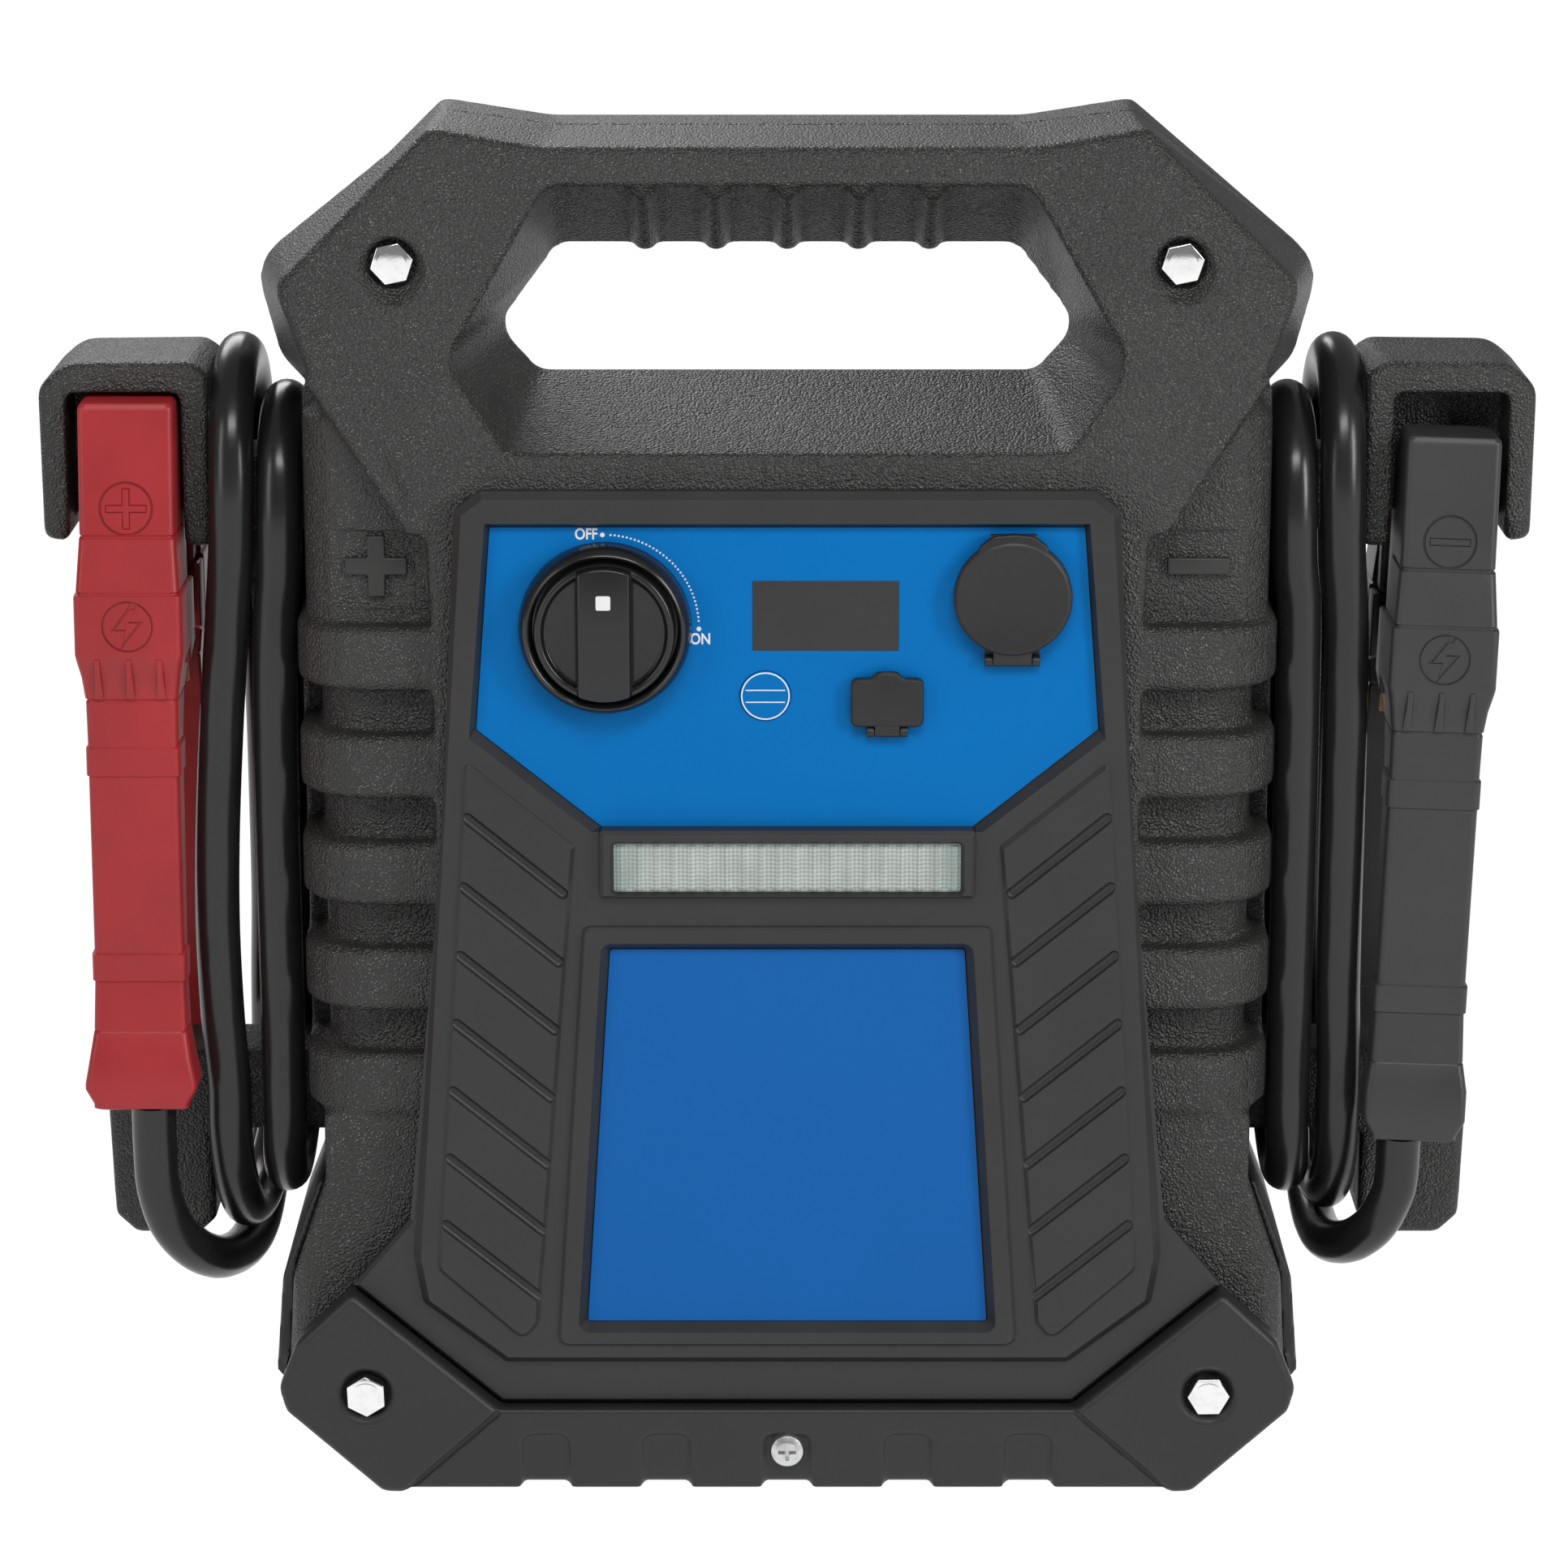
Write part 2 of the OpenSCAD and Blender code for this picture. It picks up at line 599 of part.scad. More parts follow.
module bumper_half() {
    difference() {
        union() {
            slab(rounded(both_sides(strip_half)), -60, -52);
            mirrored_x() {
                bevelled_slab(corner_plate, -plate_y, -59, 1.2);
                slab(rounded(rail), -40, 0);
                intersection() {
                    slab(rounded(corner_plate), -53, -39);
                    slab([[60, 6], [107, 6], [136.2, 31], [145, 60], [145, -5], [60, -5]], -53, -39);
                }
            }
            difference() {
                block(-104, 104, -plate_y + 1.2, -59, foot_h, 25.2);
                for (i = [-2:2])
                    slab(rounded([[i * notch_pitch - notch_w / 2, 18.3, 3],
                                  [i * notch_pitch + notch_w / 2, 18.3, 3],
                                  [i * notch_pitch + notch_w / 2, -1, 0],
                                  [i * notch_pitch - notch_w / 2, -1, 0]]),
                         -plate_y - 1, -plate_y + 2.6);
            }
            block(-104, 104, -53, 0, foot_h, 6);
        }
        mirrored_x() {
            rod_y(low_bolt_x, low_bolt_z, 2.7, -70, -40);
            rod_y(low_bolt_x, low_bolt_z, 6.4, -70, -60.5);
            cone_y(low_bolt_x, low_bolt_z, 8.2, 6.4, -plate_y - eps, -62.6);
            translate([92, -44, -1]) cylinder(r = 9.05, h = foot_h + 1, $fn = fine);
            translate([92, -44, -1]) cylinder(r = 5.05, h = 5, $fn = fine);
        }
        rod_y(0, 13.5, 1.9, -70, -40);
        for (i = [-2:2])
            block(i * notch_pitch - notch_w / 2, i * notch_pitch + notch_w / 2, -plate_y - 1,
                  -54, -1, 5);
    }
}

module front_bumper() {
    color("#2c2b2b") bumper_half();
}

module rear_bumper() {
    color("#2c2b2b") mirror([0, 1, 0]) bumper_half();
}

module rubber_feet() {
    color("#1d1d1d") mirrored_x() for (s = [-1, 1]) translate([92, s * 44, 0]) {
        cylinder(r = 9, h = foot_h, $fn = fine);
        cylinder(r = 5, h = 4, $fn = fine);
    }
}

// ---- fasteners -----------------------------------------------------------------------------

// Hex head bolt with its head at the front, head seat at y
module hex_bolt(x, z, y, turn, length) {
    translate([x, y, z]) rotate([90, 0, 0]) {
        hexagon(10, 4, turn);
        translate([0, 0, 0]) intersection() {
            hexagon(10, 5, turn);
            cylinder(r1 = 7.2, r2 = 4.6, h = 5, $fn = fine);
        }
    }
    rod_y(x, z, 2.4, y, y + length);
}

module hex_bolts() {
    color("#d8d8d8") for (back = [0, 1]) mirror([0, back, 0]) {
        hex_bolt(-bolt_x, bolt_z, -35.2, 12, 29);
        hex_bolt(bolt_x, bolt_z, -35.2, 12, 29);
        hex_bolt(-low_bolt_x, low_bolt_z, -60.5, 32, 21);
        hex_bolt(low_bolt_x, low_bolt_z, -60.5, 1, 21);
    }
}

module pan_screw(x, z, y) {
    translate([x, y, z]) rotate([90, 0, 0]) difference() {
        rotate_extrude($fn = fine) polygon([[0, 0], [4.9, 0], [4.9, 0.8], [4.3, 2], [2.6, 2.8], [0, 3]]);
        for (a = [0, 90]) rotate([0, 0, a]) translate([-2.4, -0.5, 1.4]) cube([4.8, 1, 3]);
    }
    rod_y(x, z, 1.7, y, y + 14);
}

module pan_screws() {
    color("#b9bcbf") {
        pan_screw(0, 13.5, -plate_y + 2.6);
        mirror([0, 1, 0]) {
            pan_screw(0, 13.5, -plate_y + 2.6);
            mirrored_x() for (z = panel_screw_z) pan_screw(panel_screw_x, z, -label_y);
        }
    }
}

// ---- inside --------------------------------------------------------------------------------

module battery() {
    color("#555b60") {
        block(-106, 75, -36, 40, 12, 176);
        block(-105, 74, -34, 38, 176, 179);
    }
    color("#b0a080") for (x = [-98, 50]) block(x - 6.5, x + 6.5, 20, 34, 179, 190);
}

module positive_lead() {
    color("#a02a2a") tube([[-98, 27, 190], [-98, 27, 212], [-98, 25, 225], [-98, 18, 238],
        [-98, 9, 249], [-98.5, 3, 257], [-100.5, 0.6, 263.5], [-105, 0, 267.3], [-109, 0, 268],
        [-114.8, 0, 268]], 5, 16, [0, 1, 0.02]);
}

module negative_lead() {
    color("#202020") tube([[50, 27, 190], [50.4, 27, 195.5], [53, 27, 200.5], [60, 27, 203.5],
        [74, 27, 205], [84, 26, 208.5], [91, 23, 216], [95, 18, 228], [97, 11, 242],
        [98.5, 4, 254], [101, 1, 262.5], [105, 0, 267], [109, 0, 268], [114.8, 0, 268]], 5, 16,
        [0, 1, 0.02]);
}

module compressor_motor() {
    color("#9a9fa4") {
        rod_x(0, 208, 17, -62, 18);
        rod_x(0, 208, 4, 18, 22);
        for (x = [-60, 12]) block(x, x + 4, -16, 16, 179, 194);
    }
}

module pump_head() {
    color("#b4b8bb") {
        block(22, 52, -16, 16, 179, 224);
        translate([37, 0, 224]) cylinder(r = 12, h = 26, $fn = fine);
        for (i = [0:4]) translate([37, 0, 227 + i * 5]) cylinder(r = 16, h = 1.8, $fn = fine);
        translate([37, 0, 250]) cylinder(r = 14, h = 7, $fn = fine);
        block(33.5, 40.5, 0, 19, 250, 257);
    }
}

// ---- rear panel ----------------------------------------------------------------------------

panel_screw_x = 74;
panel_screw_z = [60, 165, 256];
panel_half = [[80, 272, 4], [88, 190, 0], [94, 70, 6], [74, 45, 4]];
gauge_x = -44;
gauge_z = 240;
gauge_front = control_y + 11.5;
outlet_x = 56;
outlet_z = 246;
inlet_z = 212;

// A part of the rear panel, drawn as if it faced the front
module at_rear() {
    mirror([0, 1, 0]) children();
}

module rear_panel() {
    color("#302f2f") at_rear() difference() {
        bevelled_slab(both_sides(panel_half), -label_y, -face_y, 1.4);
        rod_y(gauge_x, gauge_z, 20.4, -60, -50);
        block(-3.2, 19.2, -60, -50, 233.8, 249.2);
        rod_y(outlet_x, outlet_z, 6.2, -60, -50);
        rod_y(outlet_x, inlet_z, 7.2, -60, -50);
        for (i = [0:7]) mirrored_x()
            slab(rounded([[14, 160 - i * 10, 1.4], [64, 160 - i * 10, 1.4], [64, 157 - i * 10, 1.4],
                          [14, 157 - i * 10, 1.4]]), -60, -face_y - 1.5);
        for (z = panel_screw_z) mirrored_x() rod_y(panel_screw_x, z, 1.9, -60, -50);
    }
}

module gauge_case() {
    color("#262626") at_rear() translate([gauge_x, 0, gauge_z]) rotate([90, 0, 0])
        rotate_extrude($fn = 96) polygon([[0, 38], [20.3, 38], [20.3, label_y], [24.5, label_y],
            [24.5, gauge_front - 2], [23.5, gauge_front], [21.4, gauge_front],
            [20.4, gauge_front - 2.2], [20.4, 62], [19.6, 62], [19.6, 60], [0, 60]]);
}

module gauge_dial() {
    color("white") at_rear() rod_y(gauge_x, gauge_z, 19.4, -60.8, -60);
}

module gauge_needle() {
    color("#c0392b") at_rear() {
        rod_y(gauge_x, gauge_z, 2.2, -62.4, -61);
        translate([gauge_x, -62, gauge_z]) rotate([0, 45, 0]) rotate([90, 0, 0]) linear_extrude(0.7)
            polygon([[-1, 5], [1, 5], [0.4, -15], [-0.4, -15]]);
    }
}

module gauge_glass() {
    color("#dfe8ee", 0.3) at_rear() rod_y(gauge_x, gauge_z, 20.35, -66, -64);
}

rocker_x = 8;
rocker_z = 241.5;

module rocker_housing() {
    color("#262626") at_rear() {
        difference() {
            union() {
                block(rocker_x - 13, rocker_x + 13, -label_y - 1.8, -label_y, rocker_z - 9.5,
                      rocker_z + 9.5);
                block(rocker_x - 11.1, rocker_x + 11.1, -label_y, -40, rocker_z - 7.6, rocker_z + 7.6);
            }
            block(rocker_x - 9.4, rocker_x + 9.4, -62, -49, rocker_z - 5.8, rocker_z + 5.8);
        }
        translate([rocker_x, -55, rocker_z - 7]) cylinder(r = 1.5, h = 14, $fn = fine);
    }
}

// Rocker: a shallow vee that tips about the pin through its housing
module compressor_rocker() {
    color("#a3242a") at_rear() difference() {
        translate([rocker_x, 0, rocker_z - 5.5]) linear_extrude(11)
            polygon([[-8.4, -60.6], [0, -58.8], [8.4, -60.6], [8, -57], [3.4, -52.4], [-3.4, -52.4],
                     [-8, -57]]);
        translate([rocker_x, -55, rocker_z - 7]) cylinder(r = 1.55, h = 14, $fn = fine);
    }
}

module air_outlet() {
    color("#c7a24b") at_rear() difference() {
        union() {
            rod_y(outlet_x, outlet_z, 6, -label_y - 1, -44);
            rod_y(outlet_x, outlet_z, 4.8, -label_y - 9, -label_y);
            translate([outlet_x, -label_y, outlet_z]) rotate([90, 0, 0]) hexagon(14, 3);
        }
        rod_y(outlet_x, outlet_z, 2.1, -70, -50);
    }
    color("#262626") tube([[outlet_x, 44, outlet_z], [outlet_x, 38, outlet_z],
        [outlet_x - 0.6, 34, 246.4], [outlet_x - 3, 30.6, 247.6], [50, 29, 249.4], [44, 28.6, 251.6],
        [40.4, 27.8, 252.8], [37.8, 25.6, 253.4], [37, 23, 253.5], [37, 19, 253.5]], 2.6, 12,
        [0, 0.02, 1]);
}

module charge_inlet() {
    color("#262626") {
        at_rear() {
            difference() {
                union() {
                    rod_y(outlet_x, inlet_z, 7, -label_y, -40);
                    rod_y(outlet_x, inlet_z, 8.4, -label_y - 1.2, -label_y);
                }
                rod_y(outlet_x, inlet_z, 4.8, -70, -46);
            }
            translate([0, -label_y + control_y, 0]) hinge_lugs(outlet_x, inlet_z - 11.4, 3.2, 0.6);
            rod_y(outlet_x, inlet_z, 1, -54, -45);
        }
    }
}

module charge_cap() {
    lift = control_y - label_y;
    color("#2f2e2e") at_rear() difference() {
        union() {
            rod_y(outlet_x, inlet_z, 9, -label_y - 3.6, -label_y - 1.3);
            rod_y(outlet_x, inlet_z, 4.2, -label_y - 1.4, -label_y + 0.6);
            block(outlet_x - 3, outlet_x + 3, -label_y - 3.2, -label_y - 1.3, inlet_z - 11.4,
                  inlet_z - 6);
            rod_x(-hinge_y + lift, inlet_z - 11.4, hinge_r, outlet_x - 3, outlet_x + 3);
            block(outlet_x - 3, outlet_x + 3, -label_y - 3.2, -label_y - 1.3, inlet_z + 7,
                  inlet_z + 10.4);
        }
        rod_x(-hinge_y + lift, inlet_z - 11.4, 0.65, outlet_x - 5, outlet_x + 5);
    }
}

// ---- clamp holders and cable hooks ---------------------------------------------------------

holder = [[153.5, 302, 3], [158, 305, 4], [191, 304.6, 9], [198.7, 298, 6], [198.4, 257, 3],
          [191.5, 256.2, 2], [191.5, 262, 0], [161, 262, 0], [161, 255, 1.5], [153.5, 255, 2]];
recess = [[161, 296.6, 2], [191.5, 296.6, 2], [191.5, 200, 0], [161, 200, 0]];
holder_y = 21;
web_y = 6;
arm_y = 12.8;

module clamp_holder() {
    color("#3a3938") difference() {
        union() {
            difference() {
                for (back = [0, 1]) mirror([0, back, 0])
                    bevelled_slab(holder, -holder_y, 0, 1.4);
                for (back = [0, 1]) mirror([0, back, 0])
                    slab(rounded(recess), -holder_y - 1, -web_y);
            }
            block(118, 155, -arm_y, arm_y, 258, 278);
            block(118, 121, -18, 18, 254, 282);
        }
        rod_x(0, 268, 7, 110, 138);
        translate([138, 0, 250]) cylinder(r = 7, h = 18, $fn = fine);
        translate([138, 0, 268]) sphere(r = 7, $fn = fine);
    }
}

module left_clamp_holder() {
    mirror([1, 0, 0]) clamp_holder();
}

module right_clamp_holder() {
    clamp_holder();
}

hook = [[122, 111.5, 0], [179, 111.5, 2], [185.5, 105, 2], [188.2, 98.6, 3], [187, 63, 2],
        [181.3, 57.6, 2], [163.5, 57.6, 2], [159, 61.8, 2], [159, 88, 2], [122, 88, 0]];

hook_y = 12.5;

module cable_hook() {
    color("#3a3938") {
        for (back = [0, 1]) mirror([0, back, 0]) bevelled_slab(hook, -hook_y, 0, 1.2);
        block(118, 121, -17, 17, 88, 115.5);
        block(118, 123, -hook_y, hook_y, 88, 111.5);
    }
}

module left_cable_hook() {
    mirror([1, 0, 0]) cable_hook();
}

module right_cable_hook() {
    cable_hook();
}

gland_mouth = 232;

// Elbow inside the holder's arm and a ribbed sleeve below it
module cable_glands() {
    color("#232323") mirrored_x() {
        rod_x(0, 268, 6.8, 114.8, 138);
        translate([138, 0, 252]) cylinder(r = 6.8, h = 16, $fn = fine);
        translate([138, 0, 268]) sphere(r = 6.8, $fn = fine);
        translate([138, 0, 0]) rotate_extrude($fn = fine)
            polygon([[0, gland_mouth], [7.2, gland_mouth], [7.6, 236], [7.2, 237], [7.6, 238],
                     [8.1, 242], [7.6, 243], [8.1, 244], [8.8, 248], [9.4, 254], [9.4, 258], [0, 258]]);
    }
}

// ---- starting cables -----------------------------------------------------------------------

// Half turn over the upper arm or under the lower one, from x0, y0 to x1, y1 about height z
function half_turn(x0, x1, y0, y1, z, up, bulge = 0, n = 6) =
    [for (i = [0:n])
        let (a = 180 * i / n, r = abs(y1 - y0) / 2)
        [x0 + (x1 - x0) * i / n + bulge * sin(a), (y0 + y1) / 2 + (y0 - y1) / 2 * cos(a),
         z + up * r * sin(a)]];

front_y = -26.2;
top_a = [147.3, 33, 273];   // outer loop over the arm: x, y at the back, height of its centre
top_b = [134.8, 24, 265.4]; // inner loop over the arm
foot_b = [136.8, 22.6, 98.6]; // inner loop under the hook's arm

function front_run(pts) = [for (p = pts) [p.x, front_y, p.y]];

// Whole cable, from the clamp to the gland. start is the clamp's end and drop the way it leaves,
// lead the points on to the back, run_a and run_b the two front runs as [x, z]. foot is the outer
// loop under the hook's arm: x and y at the back, height of its centre, outward bulge.
function cable_route(start, drop, lead, run_a, run_b, foot) =
    let (end_a = run_a[len(run_a) - 1], end_b = run_b[len(run_b) - 1])
    concat(
        [start, start + cable_d * drop], lead,
        [[148, 47, 115], [147, 44.5, 140], [146.5, 41, 170], [146.3, 38, 200], [146.5, 35.5, 230],
         [147, 33.8, 254]],
        half_turn(top_a.x, top_a.x, top_a.y, front_y, top_a.z, 1),
        front_run(run_a),
        half_turn(end_a.x, foot.x, front_y, foot.y, foot.z, -1, foot[3]),
        [[141, 34, 112], [139.5, 29.5, 140], [138, 25.5, 170], [136.8, 23.6, 200],
         [135.6, 23.2, 235], [134.9, 23.8, 252]],
        half_turn(top_b.x, top_b.x, top_b.y, front_y, top_b.z, 1),
        front_run(run_b),
        half_turn(end_b.x, foot_b.x, front_y, foot_b.y, foot_b.z, -1, 1.6),
        [[136.8, 20.6, 114], [137, 13.6, 136], [137.4, 7.4, 158], [137.8, 2.4, 184],
         [138, 0.4, 206], [138, 0, gland_mouth - cable_d], [138, 0, gland_mouth]]);

left_route = cable_route([172, -37.6, 104], [0, 0, -1],
    [[171.4, -37.4, 80], [168.6, -35.4, 69], [163.6, -30.6, 60.4], [158.8, -22.6, 54.6],
     [155.4, -12, 51.2], [152.6, 0.6, 49.4], [150.6, 14, 50.2], [149.6, 27.4, 54.8],
     [149, 38.4, 63.8], [148.6, 45.2, 76], [148.5, 47.5, 89]],
    [[148, 255], [149.8, 232], [152, 205], [153.8, 175], [154.4, 150], [153.8, 125], [152.6, 106]],
    [[135.4, 250], [136.6, 235], [137.3, 210], [137.6, 180], [137.6, 155], [137.5, 130],
     [137.5, 112]], [142, 35, 92.5, 2]);
right_route = cable_route([166.4, -37.6, 95.2], [-sin(black_lean), 0, -cos(black_lean)],
    [[164.8, -37.2, 77.4], [161.4, -34.4, 68.8], [156.8, -28.8, 62.2], [152.8, -20.4, 58],
     [150.4, -9.6, 55.4], [149.4, 3.4, 54.4], [149, 16.6, 56], [148.8, 29.6, 61.2],
     [148.6, 40, 71.2], [148.5, 46, 84], [148.5, 47.5, 97]],
    [[147.9, 255], [149.3, 235], [149.7, 210], [149.8, 180], [149.8, 155], [150, 132],
     [150.7, 114]],
    [[135.2, 252], [136.5, 238], [136.8, 210], [136.9, 180], [136.9, 155], [136.9, 130],
     [136.9, 113]], [143.4, 35, 98, 2.6]);

function route_length(r) = len(r) < 2 ? 0 :
    [for (i = [1:len(r) - 1]) norm(r[i] - r[i - 1])] * [for (i = [1:len(r) - 1]) 1];

// Least distance between two stretches of the route that aren't neighbours
function segment_gap(r, reach = 5) =
    min([for (i = [0:len(r) - 1 - reach], j = [i + reach:len(r) - 1])
        norm(r[i] - r[j])]) - cable_d;

function midpoints(r) =
    [for (i = [0:len(r) - 2], k = [0:3]) r[i] + (r[i + 1] - r[i]) * k / 4];

echo(left_length = route_length(left_route), right_length = route_length(right_route));
echo(left_gap = segment_gap(midpoints(left_route), 14), right_gap = segment_gap(midpoints(right_route), 14));

module positive_cable() {
    color("#1f1f20") mirror([1, 0, 0]) tube(left_route, cable_d / 2, cable_sides);
}

module negative_cable() {
    color("#1f1f20") tube(right_route, cable_d / 2, cable_sides);
}

// ---- clamps --------------------------------------------------------------------------------
// A clamp is drawn about its pivot, jaws up. Outlines are [y, z], the front lever at negative y.

lever_back = [[-11.5, 59.5, 1.5], [-12, 30, 2], [-15.5, 14, 3], [-16, -12, 4], [-22, -30, 8],
              [-25.8, -60, 10], [-29, -100, 10], [-30.8, -132, 2]];
lever_front = [[-44.2, -132, 3], [-43, -118, 8], [-38.5, -104, 6], [-37, -60, 10], [-35.5, -24, 4],
               [-36.5, -18, 3], [-38.5, -8, 4], [-37.5, 9, 3], [-33.5, 24, 4], [-29, 59.5, 3]];
pin_r = 3;

// Prism of a [y, z] outline across the clamp
module across(pts, half_w) {
    translate([-half_w, 0, 0]) rotate([90, 0, 90]) linear_extrude(2 * half_w) polygon(pts);
}

// Front view of a lever as half widths [x, z]: narrow at the jaws, flared at the handle's end
function lever_sides(end) = [[12.7, 70], [12.7, 26], [13.2, 26], [13.2, -112], [end, -126],
                             [end - 2.6, -133]];

module lever_solid(body, end) {
    outline = rounded(concat(lever_back, lever_front), 3);
    side = lever_sides(end);
    color(body) difference() {
        union() {
            intersection() {
                across(outline, 20);
                slab(concat(side, [for (i = [len(side) - 1:-1:0]) [-side[i].x, side[i].y]]),
                     -60, 0);
            }
            intersection() {
                across(outline, 14.4);
                block(-20, 20, -60, -18, -14, 9);
            }
        }
        // pocket for the metal jaw
        block(-10.2, 10.2, -16.6, 0, -30, 56);
        // finger grooves between the pads of the handle
        for (z = [-25, -90, -116]) block(-20, 20, -60, -36.6, z - 0.7, z + 0.7);
    }
}

// Gussets where the handle leaves the pivot, on the front face
module gussets(body) {
    color(body) for (x = [-8.4, 0, 8.4])
        translate([x - 0.9, 0, 0]) rotate([90, 0, 90]) linear_extrude(1.8)
            polygon([[-34, -13], [-38.2, -13], [-36.6, -25], [-34, -25]]);
}

jaw_back = [[-12.6, 54], [-14.6, 54], [-14.6, -26], [-12.6, -26]];

module jaw_solid(cheek, thick) {
    color("#b36b42") difference() {
        union() {
            across(jaw_back, 9.6);
            mirrored_x() translate([cheek, 0, 0]) rotate([90, 0, 90]) linear_extrude(thick)
                polygon([[-14, 30], [-6.3, 44], [-6.3, 54], [-14, 54]]);
            mirrored_x() translate([cheek, 0, 0]) rotate([90, 0, 90]) linear_extrude(thick)
                polygon([[-14, 18], [-6, 9], [4, 7], [7, 0], [4, -7], [-6, -9], [-14, -20]]);
            for (z = [44.5, 48, 51.5]) block(-9.6, 9.6, -14, -8.4, z - 0.9, z + 0.9);
        }
        rod_x(0, 0, pin_r + 0.05, -20, 20);
    }
}

module pivot_pin_solid() {
    color("#b9bcbf") {
        rod_x(0, 0, pin_r, -11.6, 11.6);
        for (s = [-1, 1]) rod_x(0, 0, 4.6, s * 10.8 - 1, s * 10.8 + 1);
    }
}

// Torsion spring: turns about the pin and two legs that bear on the front jaw
spring_turns = 4;
spring_wire = 0.9;

module spring_solid() {
    n = 12;
    pts = concat([[-3.6, -11.4, -16]], [for (i = [0:spring_turns * n])
        [-3.6 + 7.2 * i / (spring_turns * n), -5.2 * cos(360 * i / n), -5.2 * sin(360 * i / n)]],
        [[3.6, -11.4, -16]]);
    color("#8d9196") tube(pts, spring_wire, 6);
}

clamp_x = 174.6;

module place_red() {
    translate([-clamp_x, 0, red_pivot_z]) children();
}

module place_black() {
    translate([clamp_x - 0.4, 0, black_pivot_z]) rotate([0, black_lean, 0]) children();
}

red = "#b53a40";
black = "#363534";

module red_front_lever() {
    place_red() {
        lever_solid(red, 15.2);
        gussets(red);
    }
}

module red_rear_lever() {
    place_red() mirror([0, 1, 0]) lever_solid(red, 15.2);
}

module red_front_jaw() {
    place_red() jaw_solid(7.6, 1.8);
}

module red_rear_jaw() {
    place_red() mirror([0, 1, 0]) jaw_solid(5.2, 1.8);
}

module red_pivot_pin() {
    place_red() pivot_pin_solid();
}

module red_spring() {
    place_red() spring_solid();
}

module black_front_lever() {
    place_black() {
        lever_solid(black, 13.9);
        gussets(black);
    }
}

module black_rear_lever() {
    place_black() mirror([0, 1, 0]) lever_solid(black, 13.9);
}

module black_front_jaw() {
    place_black() jaw_solid(7.6, 1.8);
}

module black_rear_jaw() {
    place_black() mirror([0, 1, 0]) jaw_solid(5.2, 1.8);
}

module black_pivot_pin() {
    place_black() pivot_pin_solid();
}

module black_spring() {
    place_black() spring_solid();
}

// ---- assembly ------------------------------------------------------------------------------

front_shell();
rear_shell();
front_bezel();
rear_panel();
front_bumper();
rear_bumper();
rubber_feet();
control_label();
plaque_label();
display_window();
control_board();
usb_port();
usb_cap();
test_button();
knob_ring();
power_knob();
power_switch();
power_socket();
socket_cap();
light_frame();
light_lens();
light_board();
battery();
positive_lead();
negative_lead();
compressor_motor();
pump_head();
air_outlet();
gauge_case();
gauge_dial();
gauge_needle();
gauge_glass();
rocker_housing();
compressor_rocker();
charge_inlet();
charge_cap();
left_clamp_holder();
right_clamp_holder();
left_cable_hook();
right_cable_hook();
cable_glands();
hex_bolts();
pan_screws();
positive_cable();
negative_cable();
red_front_lever();
red_rear_lever();
red_front_jaw();
red_rear_jaw();
red_pivot_pin();
red_spring();
black_front_lever();
black_rear_lever();
black_front_jaw();
black_rear_jaw();
black_pivot_pin();
black_spring();
